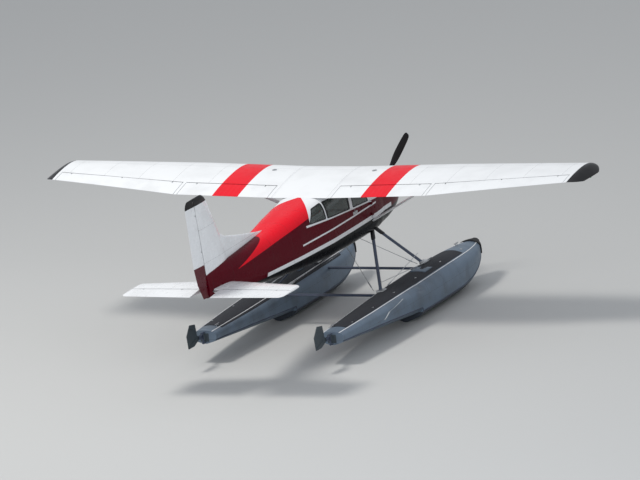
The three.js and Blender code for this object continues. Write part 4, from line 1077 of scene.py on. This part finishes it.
def tip_ring(x):
    """A wing section drawn in and drooped towards the end of the tip."""
    out = (abs(x) - PANEL_END_X) / (TIP_X - PANEL_END_X)
    ring = wing_ring(x)
    mid_y, mid_z = (sum(point[k] for point in ring) / len(ring) for k in (1, 2))
    length, depth = 1 - TIP_DRAWN_IN * out ** 3, 1 - TIP_THINNED * out ** 2
    return [(px, mid_y + (y - mid_y) * length, mid_z + (z - mid_z) * depth - TIP_DROOP * out ** 2)
            for px, y, z in ring]


tip_paint = sheet_paint("tip_paint", BLACK, roughness=0.35, coat=0.05, grime=0.2, ripple=0.1, shine=0.2)
for side_name, side in SIDES:
    places = [PANEL_END_X + HAIR + (TIP_X - PANEL_END_X - HAIR) * math.sin(math.pi / 2 * k / 12)
              for k in range(13)]
    tip = skin(f"tip_{side_name}", [tip_ring(side * x) for x in places])
    give(tip, tip_paint, "airframe", "black_paint", f"wing_tip_{side_name}")
    bulb = bmesh.new()
    size = Matrix.Diagonal((0.6, 1.6, 0.8, 1))
    bmesh.ops.create_uvsphere(bulb, u_segments=20, v_segments=12, radius=0.022,
                              matrix=Matrix.Translation(on_side(side, TIP_LAMP_AT)[0]) @ size)
    lamp_glass = plain(f"lamp_glass_{side_name}", TIP_LAMPS[side_name], 0.1)
    give(as_piece(f"tip_lamp_{side_name}", bulb), lamp_glass, "airframe", "window_glass")

# Small fittings on the wings: fuel caps, cabin air scoops at the roots, and the pitot tube below.
# Their places are across, back from the leading edge and up.
SCOOP, PITOT = (0.72, 0.03, -0.01), (-3.1, 0.35, -0.055)
PITOT_DROP, PITOT_REACH = 0.11, 0.17
FUEL_CAP = (1.02, 0.52, 0.32)  # across, back from the leading edge, and that as a part of the chord
fittings = bmesh.new()
cap_half, cap_line = airfoil(FUEL_CAP[2], THICKNESS, CAMBER)
for side in (-1, 1):
    cap_at = Vector(wing_point(side * FUEL_CAP[0], FUEL_CAP[1], (cap_half + cap_line) * ROOT_CHORD))
    add_pin(fittings, cap_at, UP, (0.01, 0.006), 0.045, 32)
    add_pin(fittings, cap_at, UP, (-0.004, 0.014), 0.012, 16)
    add_pin(fittings, wing_point(side * SCOOP[0], *SCOOP[1:]), ALONG, (0.05, 0.035), 0.02, 24)
pitot = Vector(wing_point(*PITOT))
add_bar(fittings, pitot + Vector((0, 0, 0.03)), pitot - Vector((0, 0, PITOT_DROP)), 0.011, segments=16)
add_bar(fittings, pitot - Vector((0, 0.03, PITOT_DROP)), pitot + Vector((0, PITOT_REACH, -PITOT_DROP)),
        0.009, 0.006, 16)
give(as_piece("wing_fittings", fittings), bare_metal, "airframe", "white_paint")

# Wing struts. One streamlined tube on each side, white, with a pressed cuff at the wing and at the
# foot of the door post.
WING_STRUT = ((0.46, 1.74, 1.69), (2.5, 1.21, 2.76))
BRACE_SECTION = (0.13, 0.046)
CUFF_SECTION = [size + 0.012 for size in BRACE_SECTION]
CUFFS = {"foot": (0.045, 0.12), "head": (0.9, 0.975)}  # between which parts of the strut's length


def streamlined(start, end, chord, depth, sides=36):
    """A bar whose section is round in front and drawn out to a thin edge behind."""
    rings = []
    leans = abs(end[0] - start[0]) > abs(end[2] - start[2])
    for x, y, z in (start, end):
        ring = []
        for turn in turns(sides):
            back = 1 - 0.35 * max(0, -math.cos(turn))
            a, b = chord / 2 * math.cos(turn), depth / 2 * math.sin(turn) * back
            ring.append((x + (0 if leans else b), y + REAR_EDGE + a, z + (b if leans else 0)))
        rings.append(ring)
    return rings


def between_points(start, end, part):
    """A point on the line between two others."""
    return tuple(a + (b - a) * part for a, b in zip(start, end))


strut_white = sheet_paint("strut_white", WHITE, roughness=0.3, coat=0.3, grime=0.25, ripple=0.05)
for side_name, side in SIDES:
    low, high = on_side(side, *WING_STRUT)
    brace = skin(f"wing_strut_{side_name}_tube", streamlined(low, high, *BRACE_SECTION))
    give(brace, strut_white, "airframe", "white_paint", f"wing_strut_{side_name}")
    for name, parts in CUFFS.items():
        ends = [between_points(low, high, part) for part in parts]
        cuff = skin(f"strut_{name}_cuff_{side_name}", streamlined(*ends, *CUFF_SECTION))
        give(cuff, strut_white, "airframe", "white_paint")

# Tail planes. Stabiliser and fin are riveted sheet like the wing, and a long dorsal fin runs up to the
# fin. Elevators and rudder hang on short arms, and a tube through the tail joins the two elevators.
STABILISER_HEIGHT, STABILISER_HALF = 1.93, 1.62
STABILISER_REAR, REAR_SWEEP = -4.15, 0.055
STABILISER_ROOT, STABILISER_TIP = 1.08, 0.79  # its chords
ROUNDED_FROM, ROUNDED_LENGTH = 1.54, 0.08
ROUNDED_REAR, ROUNDED_NOSE, ROUNDED_THIN = 0.09, 0.17, 0.55  # how far its tip is drawn in
ELEVATOR_ROOT = 0.205
TAIL_HINGE = -3.72
RUDDER_LOW, RUDDER_HIGH = (-3.815, 1.85), (-3.985, 3.56)  # along and height, on the rudder's hinge line
TAIL_THICKNESS = 0.085
RUDDER_NOSE, ELEVATOR_NOSE = 0.96, 0.93  # nose radii, as parts of the half thickness at the hinge
FIN_FOOT, FIN_TOP, CAP_TOP = 2.24, 3.56, 3.7
CAP_THIN, CAP_SHORT = 0.8, 0.28  # how far the cap is drawn in at its top
# Rows: height, leading edge, rear edge
FIN_ROWS = [
    (RUDDER_LOW[1], -2.93, -3.99),
    (2.15, -2.93, -4.15),
    (2.48, -2.966, -4.222),
    (3, -3.217, -4.255),
    (FIN_TOP, -3.486, -4.285),
    (CAP_TOP, -3.58, -4.27),
]


def fin_at(z):
    """Leading and rear edge of fin and rudder together at a height."""
    i = next((k for k in range(1, len(FIN_ROWS) - 1) if z <= FIN_ROWS[k][0]), len(FIN_ROWS) - 1)
    low, high = FIN_ROWS[i - 1], FIN_ROWS[i]
    part = (z - low[0]) / (high[0] - low[0])
    return mix(low[1], high[1], part), mix(low[2], high[2], part)


def fin_ring(z):
    """The section of fin and rudder at a height."""
    nose, rear = fin_at(z)
    outline = airfoil_outline(nose - rear, 0, TAIL_THICKNESS, 0, 18)
    return [(up, nose - back + REAR_EDGE, z) for back, up in outline]


def fin_hinge(z):
    """The rudder's hinge point at a height, and the radius of its nose."""
    y = mix(RUDDER_LOW[0], RUDDER_HIGH[0], (z - RUDDER_LOW[1]) / (RUDDER_HIGH[1] - RUDDER_LOW[1]))
    nose, rear = fin_at(z)
    half = airfoil((nose - y) / (nose - rear), TAIL_THICKNESS, 0)[0] * (nose - rear)
    return Vector((0, y + REAR_EDGE, z)), half * RUDDER_NOSE


def stabiliser_ring(x):
    """The section of stabiliser and elevator at a place across, drawn in where the tip is rounded."""
    out = abs(x) / STABILISER_HALF
    rounding = max(0, (abs(x) - ROUNDED_FROM) / ROUNDED_LENGTH) ** 2
    rear = STABILISER_REAR + REAR_SWEEP * out + ROUNDED_REAR * rounding
    nose = rear + mix(STABILISER_ROOT, STABILISER_TIP, out) - ROUNDED_NOSE * rounding
    outline = airfoil_outline(nose - rear, 0, TAIL_THICKNESS, 0, 18)
    depth = 1 - ROUNDED_THIN * rounding
    return [(x, nose - back + REAR_EDGE, STABILISER_HEIGHT + up * depth) for back, up in outline]


def elevator_hinge(x):
    """The elevator's hinge point at a place across, and the radius of its nose."""
    out = min(1, abs(x) / STABILISER_HALF)
    chord = mix(STABILISER_ROOT, STABILISER_TIP, out)
    to_hinge = chord + STABILISER_REAR + REAR_SWEEP * out - TAIL_HINGE
    half = airfoil(to_hinge / chord, TAIL_THICKNESS, 0)[0] * chord
    return Vector((x, TAIL_HINGE + REAR_EDGE, STABILISER_HEIGHT)), half * ELEVATOR_NOSE


def cap_rings():
    """Sections of the rounded cap that closes fin and rudder."""
    rings = []
    rows = [(FIN_TOP + HAIR, 0), (3.63, 0.12), (3.68, 0.5), (CAP_TOP, 1)]
    for z, rounding in finer(rows, 4, curved=True):
        ring = fin_ring(z)
        mid_y = sum(point[1] for point in ring) / len(ring)
        rings.append([(x * (1 - CAP_THIN * rounding), mid_y + (y - mid_y) * (1 - CAP_SHORT * rounding), z)
                      for x, y, z in ring])
    return rings


tail_white = sheet_paint("tail_white", WHITE, (), [(ACROSS, 0.8, 0.0), (UP, 0.62, 2.48)], roughness=0.26,
                         coat=0.3, grime=0.12)
ribbed_white = sheet_paint("ribbed_white", WHITE, roughness=0.28, coat=0.3, grime=0.15, beads=(ACROSS, 0.09))
# Below this height the rudder carries the red's maroon shaded copy: painted shade
WHITE_ABOVE = 2.46
rudder_paint = sheet_paint("rudder_paint", WHITE, [(SHADED_RED, [(UP, 0, WHITE_ABOVE)])], roughness=0.28,
                           coat=0.1, grime=0.15, beads=(UP, 0.09))
fin_low, fin_high = RUDDER_LOW[1], FIN_TOP
carve(tailcone, hinge_cutter(fin_hinge, fin_low - END_CLEAR, fin_high + END_CLEAR, ACROSS, RUN_CLEAR))
drill(tailcone, placed(0, TAIL_HINGE, STABILISER_HEIGHT), ACROSS, 2 * ELEVATOR_ROOT, 0.02)

rounded_places = [ROUNDED_FROM + ROUNDED_LENGTH * math.sin(math.pi / 2 * k / 6) for k in range(7)]
plane_places = [0, 0.4, 0.8, 1.2, *rounded_places]
across_places = [-x for x in plane_places[:0:-1]] + plane_places
plane = skin("stabiliser_skin", [stabiliser_ring(x) for x in across_places])
cut_block(plane, (-ELEVATOR_ROOT, -6, STABILISER_HEIGHT - 0.2),
          (ELEVATOR_ROOT, TAIL_HINGE + REAR_EDGE + 0.022, STABILISER_HEIGHT + 0.2))
for side_name, side in SIDES:
    start, end = side * (ELEVATOR_ROOT - END_CLEAR), side * (STABILISER_HALF + END_CLEAR)
    carve(plane, hinge_cutter(elevator_hinge, start, end, UP, RUN_CLEAR))
    start, end = side * ELEVATOR_ROOT, side * STABILISER_HALF
    rings = [stabiliser_ring(start)] + [stabiliser_ring(side * x) for x in plane_places[1:]]
    half_elevator = skin(f"elevator_{side_name}_skin", rings)
    carve(half_elevator, hinge_cutter(elevator_hinge, start, end, UP, 0, past=0.02), "INTERSECT")
    hang(half_elevator, elevator_hinge, start, end, UP, (0.25, 0.8), "elevator", "white_paint")
    give(half_elevator, ribbed_white, "elevator", "white_paint", "elevator")
give(plane, tail_white, "airframe", "white_paint", "stabiliser")
tube = bmesh.new()
add_pin(tube, placed(0, TAIL_HINGE, STABILISER_HEIGHT), ACROSS, ELEVATOR_ROOT + 0.04, 0.014, 28)
give(as_piece("elevator_tube", tube), bare_metal, "elevator", "white_paint", "elevator")

fin_heights = [FIN_FOOT + (FIN_TOP - FIN_FOOT) * k / 8 for k in range(9)]
fin_skin = skin("fin_skin", [fin_ring(z) for z in fin_heights])
fin_cove = RUN_CLEAR + 0.005
carve(fin_skin, hinge_cutter(fin_hinge, fin_low - END_CLEAR, fin_high + END_CLEAR, ACROSS, fin_cove))
give(fin_skin, tail_white, "airframe", "white_paint", "fin")
# Rows of the long dorsal fin: place along, ridge height, half width
DORSAL = [
    (-1.54, 2.449, 0.008),
    (-1.7, 2.47, 0.016),
    (-2.4, 2.612, 0.026),
    (-2.95, 2.742, 0.034),
    (-3.13, 2.84, 0.036),
    (-3.35, 2.9, 0.036),
]
DORSAL_FOOT = 2.28
dorsal_rings = []
for y, ridge, half in finer(DORSAL, 4):
    turned = turns(28, 0.5)
    rises = [math.copysign(abs(math.sin(turn)) ** 0.5, math.sin(turn)) for turn in turned]
    dorsal_rings.append([(half * math.cos(turn), y + REAR_EDGE, mix(DORSAL_FOOT, ridge, (rise + 1) / 2))
                         for turn, rise in zip(turned, rises)])
give(skin("dorsal_fin", dorsal_rings), tail_white, "airframe", "white_paint", "fin")
rudder_heights = [fin_low, 2, *[row[0] for row in FIN_ROWS[1:4]], 3.28, FIN_TOP]
rudder = skin("rudder_skin", [fin_ring(z) for z in sorted(rudder_heights)])
carve(rudder, hinge_cutter(fin_hinge, fin_low, fin_high, ACROSS, 0, past=0.02), "INTERSECT")
hang(rudder, fin_hinge, fin_low, fin_high, ACROSS, (0.12, 0.5, 0.9), "rudder", "white_paint")
give(rudder, rudder_paint, "rudder", "white_paint", "rudder")
for name, body, clear, how in (("fin_cap", "airframe", RUN_CLEAR, "DIFFERENCE"),
                               ("rudder_cap", "rudder", 0, "INTERSECT")):
    cap = skin(f"{name}_shell", cap_rings())
    carve(cap, hinge_cutter(fin_hinge, FIN_TOP - 0.06, CAP_TOP + 0.06, ACROSS, clear), how)
    give(cap, tip_paint, body, "black_paint", name)

# Floats. Two straight floats of riveted sheet, blue-grey, with a step in the planing bottom, a dark
# non-skid walkway on the rounded deck and a pale line painted below each of its edges.
FLOAT_X = 1.29
STERN = -1.8
KEEL_HALF, SPRAY_FLARE = 0.032, 0.55
STEP = 3  # the row where the bottom drops to the step
# Rows: place along, half width, keel, chine and crown heights
FLOAT = [
    (STERN, 0.235, 0.39, 0.47, 0.64),
    (-0.6, 0.33, 0.268, 0.405, 0.68),
    (1.045, 0.395, 0.102, 0.28, 0.74),
    (1.062, 0.395, 0, 0.215, 0.741),
    (2.3, 0.398, 0, 0.215, 0.766),
    (2.95, 0.385, 0.006, 0.24, 0.765),
    (3.4, 0.345, 0.07, 0.315, 0.752),
    (3.75, 0.262, 0.19, 0.43, 0.735),
    (3.98, 0.16, 0.33, 0.54, 0.72),
    (4.085, 0.062, 0.48, 0.61, 0.706),
]
DECK_DROP = 0.45  # from the crown to the sheer, as a part of the height over the chine


def quarter(start, corner, end, steps):
    """Points on a smooth bend from start to end that leaves and arrives towards the corner."""
    bend = []
    for k in range(1, steps):
        t = k / steps
        bend.append(tuple((1 - t) ** 2 * a + 2 * t * (1 - t) * b + t ** 2 * c
                          for a, b, c in zip(start, corner, end)))
    return bend


def deck_at(row, part):
    """The height of the rounded deck at a part of its half width."""
    drop = DECK_DROP * (row[4] - row[3])
    return row[4] - drop * (1 - math.sqrt(max(0, 1 - part ** 2)))


def float_half(row, grow=0.0):
    """Points down one side of a float's section, from the deck's middle to the keel: across, height."""
    half, keel, chine = row[1:4]
    keel_half = min(KEEL_HALF, half * 0.4)
    deck = [(part * half + part * grow, deck_at(row, part) + grow * math.sqrt(1 - part ** 2))
            for part in (math.sin(math.pi / 2 * k / 12) for k in range(13))]
    edge = (half + grow, chine)
    flare = (mix(keel_half, half, SPRAY_FLARE), mix(keel, chine, 0.7 * SPRAY_FLARE) - grow)
    side = [(half + 0.004 + grow, (deck[-1][1] + chine) / 2), (half + 0.002 + grow, chine + 0.03)]
    hollow = (mix(flare[0], edge[0], 0.5), flare[1] + 0.012)
    return [*deck, *side, edge, *quarter(edge, hollow, flare, 4), flare, (keel_half, keel - grow)]


def float_ring(side, row, grow=0.0):
    """The whole section of one float."""
    right = float_half(row, grow)
    whole = right + [(-x, z) for x, z in right[:0:-1]]
    return [(side * FLOAT_X + x, row[0] + REAR_EDGE, z) for x, z in whole]


float_rows = finer(FLOAT[:STEP], 8)[:-1] + FLOAT[STEP - 1:STEP] + finer(FLOAT[STEP:], 5, curved=True)
FLOAT_GREY = (0.14, 0.185, 0.24)
# The floats are painted darker below 0.2 m: painted shade on their bottoms
UNDERSIDE_SHADE = (0.05, 0.06, 0.075)
float_paint = sheet_paint(
    "float_paint", FLOAT_GREY, [(UNDERSIDE_SHADE, [(UP, 0, 0.2)])], [(ALONG, 0.62, 0.18), (UP, 0.3, 0.47)],
    roughness=0.42, metallic=0.3, grime=0.5, ripple=0.5, shine=0.25)
walkway_rubber = plain("walkway_rubber", (0.012, 0.014, 0.02), 0.75, 0, 120, 0.5)
trim_paint = sheet_paint("trim_paint", TRIM, roughness=0.4, grime=0.35)
strut_paint = sheet_paint("strut_paint", (0.06, 0.075, 0.11), roughness=0.4, metallic=0.2, grime=0.3,
                          ripple=0.05, shine=0.2)
bumper_rubber = plain("bumper_rubber", (0.012, 0.012, 0.013), 0.8, 0, 50, 0.3)
WALK = (-1.6, 3.2, -0.82, 0.6)  # where the walkway lies: along, and as parts of the deck's half width
LINE_AT = 0.66  # the pale line's place, as a part of the half width
# Rows: name, its place across and height in a row, radius, paint, on which edges, where it starts
RAILS = [
    ("edge_line", lambda row: (LINE_AT * row[1], deck_at(row, LINE_AT)), 0.009, trim_paint, (-1, 1), STERN),
    ("spray_rail", lambda row: (row[1] - 0.002, row[3] + 0.004), 0.011, strut_paint, (-1, 1), STERN),
    ("keel_strip", lambda row: (0, max(row[2] + 0.004, 0.012)), 0.012, strut_paint, (1,), 1.06),
]


def deck_strip(side, start, end, low, high, thick):
    """A strip that lies along the deck between two parts of its half width, as a closed band."""
    parts = [mix(low, high, k / 8) for k in range(9)]
    band = [(part, -0.004) for part in parts] + [(part, thick) for part in reversed(parts)]
    return skin_form([[(side * (FLOAT_X + part * row[1]), row[0] + REAR_EDGE, deck_at(row, abs(part)) + lift)
                       for part, lift in band] for row in float_rows if start <= row[0] <= end])


for side_name, side in SIDES:
    hull = skin(f"float_{side_name}_hull", [float_ring(side, row) for row in float_rows], 30)
    give(hull, float_paint, "airframe", "float_paint", f"float_{side_name}")
    walk = as_piece(f"walkway_{side_name}", deck_strip(side, *WALK, 0.006))
    give(walk, walkway_rubber, "airframe", "bumper_rubber")
    for name, pick, radius, paint, ways, start in RAILS:
        for way in ways:
            rings = []
            for row in float_rows:
                if row[0] > start:
                    x, z = pick(row)
                    middle = placed(side * FLOAT_X + way * x, row[0], z)
                    rings.append(circle(middle, radius, Vector(ACROSS), Vector(UP), 10))
            rail = skin(f"{name}_{side_name}_{'outer' if way == side else 'inner'}", rings, 50)
            give(rail, paint, "airframe", "float_paint")

# Float trim. Each bow has a black rubber bumper, and each deck carries round pump-out caps, a hinged
# hatch, and cleats to moor by. The right float's outer side has a short slanted pale mark.
BUMPER_THICK, BUMPER_REACH, BUMPER_Y, BUMPER_Z = 0.028, 0.034, (3.9, 4.2), (0.5, 0.78)
CAP_PLACES = (-1.2, -0.35, 0.52, 1.4, 2.42, 3.3)
CAP_X = 0.12  # how far the caps and cleats lie from the deck's middle
HATCH = (1.75, 2.05, 0.15)  # from, to, half width
CLEATS = (-1.5, 2.5, 3.6)
MARK_FROM, MARK_TO, MARK_STEPS = 0.44, -0.36, 16
MARK_TURNS = (8.5, 13.2)  # points down the float's section between which the mark runs


def float_row(y):
    """The float's row at a place along it."""
    i = next(k for k in range(1, len(FLOAT)) if y <= FLOAT[k][0])
    low, high = FLOAT[i - 1], FLOAT[i]
    return Vector(low).lerp(Vector(high), (y - low[0]) / (high[0] - low[0]))


def deck_height(y):
    """The deck's crown at a place along the float."""
    return float_row(y)[4]


for side_name, side in SIDES:
    x = side * FLOAT_X
    bow_rows = [row for row in float_rows if row[0] > 3.7]
    bow_rows.append((bow_rows[-1][0] + BUMPER_REACH, *bow_rows[-1][1:]))
    wrap = skin(f"bumper_{side_name}", [float_ring(side, row, BUMPER_THICK) for row in bow_rows], 40)
    cut_block(wrap, placed(x - 0.6, BUMPER_Y[0], BUMPER_Z[0]),
              placed(x + 0.6, BUMPER_Y[1], BUMPER_Z[1]), "INTERSECT")
    give(wrap, bumper_rubber, "airframe", "bumper_rubber", f"bow_bumper_{side_name}")
    caps = bmesh.new()
    for y in CAP_PLACES:
        top = placed(x + side * CAP_X, y, deck_at(float_row(y), CAP_X / float_row(y)[1]))
        add_pin(caps, top, UP, (0.01, 0.006), 0.026, 24)
    for y in CLEATS:
        top = placed(x - side * CAP_X, y, deck_height(y) - 0.004)
        for step in (-0.03, 0.03):
            add_pin(caps, top + Vector((0, step, 0)), UP, (0.01, 0.03), 0.007)
        add_pin(caps, top + Vector((0, 0, 0.034)), ALONG, 0.075, 0.008)
    give(as_piece(f"deck_fittings_{side_name}", caps), bare_metal, "airframe", "float_paint")
    hatch = bmesh.new()
    low, high, half = HATCH
    height = deck_height(low)
    add_block(hatch, placed(x - half, low, height - 0.02), placed(x + half, high, height + 0.009), 0.004)
    for y in (low + 0.06, high - 0.06):
        add_pin(hatch, placed(x - side * half, y, height + 0.008), ALONG, 0.03, 0.007)
    give(as_piece(f"deck_hatch_{side_name}", hatch), float_paint, "airframe", "float_paint")
mark_rings = []
for k in range(MARK_STEPS + 1):
    y = mix(MARK_FROM, MARK_TO, k / MARK_STEPS)
    outline = float_half(float_row(y), 0.003)
    place = mix(MARK_TURNS[0], MARK_TURNS[1], k / MARK_STEPS)
    i = int(place)
    x, z = [mix(outline[i][a], outline[i + 1][a], place - i) for a in (0, 1)]
    mark_rings.append([(FLOAT_X + x + out, y + along + REAR_EDGE, z + out)
                       for along, out in ((-0.03, 0), (0.03, 0), (0.03, -0.012), (-0.03, -0.012))])
give(skin("float_mark", mark_rings), trim_paint, "airframe", "float_paint")

# Float rigging. Streamlined steel struts stand in fittings on the decks, two spreader bars hold the
# floats apart, and crossed wires with turnbuckles brace them.
STRUT_SECTION, SPREADER_SECTION = (0.105, 0.042), (0.088, 0.048)
STRUTS = {
    "front": ((0.4, 1.95, 1.54), (1.13, 2.43, 0.68)),
    "rear": ((0.4, 1.87, 1.54), (1.13, 0.56, 0.68)),
}
# Shoes under the struts: how far each one is moved along from the strut's foot
SHOE_SHIFT = {"front": -0.04, "rear": 0.05}
SPREADERS = {"front": 2.5, "rear": 0.7}
SPREADER_HEIGHT, SPREADER_SHORT = 0.6, 0.2  # its ends lie short of the floats' middles
WIRE, BARREL, BARREL_FROM, BARREL_TO = 0.005, 0.012, 0.86, 0.94
# Ends of the brace wires, each with its mirror image
WIRE_RUNS = [
    ((0.33, 1.94, 1.5), (-0.93, 2.46, 0.7)),
    ((0.33, 1.86, 1.5), (-0.93, 0.66, 0.7)),
    ((1.05, 2.3, 0.95), (1.2, 0.66, 0.78)),
    ((1.1, 0.66, 0.86), (1.2, 2.36, 0.78)),
]
for place, ends in STRUTS.items():
    for side_name, side in SIDES:
        head, base = on_side(side, *ends)
        bar = skin(f"{place}_strut_{side_name}_tube", streamlined(head, base, *STRUT_SECTION))
        give(bar, strut_paint, "airframe", "strut_paint", f"{place}_strut_{side_name}")
        # A black sleeve at each strut's top: the fittings under the belly, its black partly painted shade
        # there
        fitting_and_shade = skin(f"{place}_strut_{side_name}_fairing",
                       streamlined(head, between_points(head, base, 0.17), STRUT_SECTION[0] + 0.03, 0.066))
        give(fitting_and_shade, tip_paint, "airframe", "strut_paint")
        shoe = bmesh.new()
        x, y, height = base[0] * 0.985, base[1] + SHOE_SHIFT[place], deck_height(base[1])
        add_block(shoe, placed(x - 0.075, y - 0.06, height - 0.035),
                  placed(x + 0.075, y + 0.1, height + 0.012), 0.005)
        for bolt_x in (-0.055, 0.055):
            for bolt_y in (-0.035, 0.075):
                add_pin(shoe, placed(x + bolt_x, y + bolt_y, height + 0.01), UP, (0, 0.01), 0.009, 6)
        give(as_piece(f"{place}_strut_{side_name}_shoe", shoe), bare_metal, "airframe", "strut_paint")
for place, y in SPREADERS.items():
    ends = [(x, y, SPREADER_HEIGHT) for x in (-FLOAT_X + SPREADER_SHORT, FLOAT_X - SPREADER_SHORT)]
    bar = skin(f"{place}_spreader_tube", streamlined(*ends, *SPREADER_SECTION))
    give(bar, strut_paint, "airframe", "strut_paint", f"{place}_spreader")

wires, barrels = bmesh.new(), bmesh.new()
for ends in WIRE_RUNS:
    for side in (1, -1):
        a, b = [placed(*end) for end in on_side(side, *ends)]
        add_bar(wires, a, b, WIRE, segments=10)
        add_bar(barrels, a.lerp(b, BARREL_FROM), a.lerp(b, BARREL_TO), BARREL, segments=12)
give(as_piece("brace_wires", wires), bare_metal, "airframe", "bare_steel")
give(as_piece("turnbuckles", barrels), bare_metal, "airframe", "bare_steel")

# Water rudders. Behind each float a steering post stands in two ears on the transom. It carries two
# cheeks with a pin, about which the blade of sheet metal swings up out of the water.
POST_Y = -1.872
EARS = (0.41, 0.6)
EAR_HALF, EAR_THICK, EAR_ROOT, EAR_PAST = 0.02, 0.016, 0.03, 0.018
POST_RADIUS, RUDDER_PIN = 0.017, 0.006
LIFT_PIN = (-2.02, 0.56)
CHEEK_X, CHEEK_Z, CHEEK_PAST = (0.014, 0.026), (0.53, 0.59), 0.024
LEAF_HALF = 0.004
# Size of the dark plate on each transom, which is partly its fittings and partly painted shade
SHADE_PLATE_HALF, SHADE_PLATE_THICK, SHADE_PLATE_Z = 0.085, 0.004, (0.43, 0.585)
# The blade's outline from its pin, raised as in flight
LEAF_OUTLINE = [(0.018, -0.018), (0.018, 0.018), (-0.06, 0.06), (-0.09, 0.28), (-0.3, 0.32), (-0.45, 0.15),
                (-0.425, -0.095), (-0.2, -0.1)]
leaf_paint = sheet_paint("leaf_paint", (0.045, 0.06, 0.07), roughness=0.45, metallic=0.2, grime=0.4)
# Ends of the blade's two pressed ribs, from its pin
LEAF_RIBS = [((-0.12, 0.02), (-0.39, -0.05)), ((-0.12, 0.2), (-0.34, 0.24))]
for side_name, side in SIDES:
    x = side * FLOAT_X
    post_y, stern_y = POST_Y + REAR_EDGE, STERN + REAR_EDGE
    # A dark plate on each transom: partly the dark fittings there, partly painted shade on the transom's face
    transom_shade_plate = bmesh.new()
    add_block(transom_shade_plate, (x - SHADE_PLATE_HALF, stern_y - SHADE_PLATE_THICK, SHADE_PLATE_Z[0]),
              (x + SHADE_PLATE_HALF, stern_y + SHADE_PLATE_THICK, SHADE_PLATE_Z[1]), 0.002)
    give(as_piece(f"stern_plate_{side_name}", transom_shade_plate), leaf_paint, "airframe", "float_paint")
    ears = bmesh.new()
    for z in EARS:
        add_block(ears, (x - EAR_HALF, stern_y + EAR_ROOT, z),
                  (x + EAR_HALF, post_y - EAR_PAST, z + EAR_THICK), 0.003)
    ear_piece = as_piece(f"transom_ears_{side_name}", ears)
    drill(ear_piece, (x, post_y, 0.5), UP, 0.2, RUDDER_PIN + 0.001, 24)
    give(ear_piece, strut_paint, "airframe", "float_paint", f"float_{side_name}")

    head = bmesh.new()
    add_bar(head, (x, post_y, EARS[0] + EAR_THICK + HAIR), (x, post_y, EARS[1] - HAIR), POST_RADIUS,
            segments=32)
    add_bar(head, (x, post_y, EARS[0] - 0.01), (x, post_y, EARS[1] + 0.026), RUDDER_PIN, segments=20)
    add_block(head, (x - CHEEK_X[1], post_y - 0.06, CHEEK_Z[0] - 0.03),
              (x + CHEEK_X[1], post_y - 0.005, CHEEK_Z[1]), 0.004)
    for low, high in ((-CHEEK_X[1], -CHEEK_X[0]), CHEEK_X):
        add_block(head, (x + low, LIFT_PIN[0] + REAR_EDGE - CHEEK_PAST, CHEEK_Z[0]),
                  (x + high, post_y - 0.04, CHEEK_Z[1]), 0.003)
    pin = placed(x, *LIFT_PIN)
    add_pin(head, pin, ACROSS, CHEEK_X[1] + 0.004, RUDDER_PIN, 20)
    for way in (-1, 1):
        add_pin(head, pin, (way, 0, 0), (-CHEEK_X[1], CHEEK_X[1] + 0.007), 0.011, 6)
    give(as_piece(f"rudder_post_{side_name}", head), strut_paint, f"water_rudder_head_{side_name}",
         "strut_paint", f"water_rudder_head_{side_name}")

    outline = [(LIFT_PIN[0] + y, LIFT_PIN[1] + z) for y, z in LEAF_OUTLINE]
    leaf = side_plate(outline, (x - LEAF_HALF, x + LEAF_HALF), 0.012, f"rudder_leaf_{side_name}")
    boss = bmesh.new()
    add_pin(boss, pin, ACROSS, 0.012, 0.02, 28)
    carve(leaf, as_piece("leaf_boss", boss), "UNION")
    drill(leaf, pin, ACROSS, 0.1, RUDDER_PIN + 0.0008, 20)
    blade_body = f"water_rudder_blade_{side_name}"
    give(leaf, leaf_paint, blade_body, "strut_paint", blade_body)
    stiffeners = bmesh.new()
    for way in (-1, 1):
        for rib in LEAF_RIBS:
            ends = [pin + Vector((way * (LEAF_HALF + 0.002), y, z)) for y, z in rib]
            add_bar(stiffeners, *ends, 0.006, segments=10)
    give(as_piece(f"leaf_ribs_{side_name}", stiffeners), leaf_paint, blade_body, "strut_paint")

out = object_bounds()
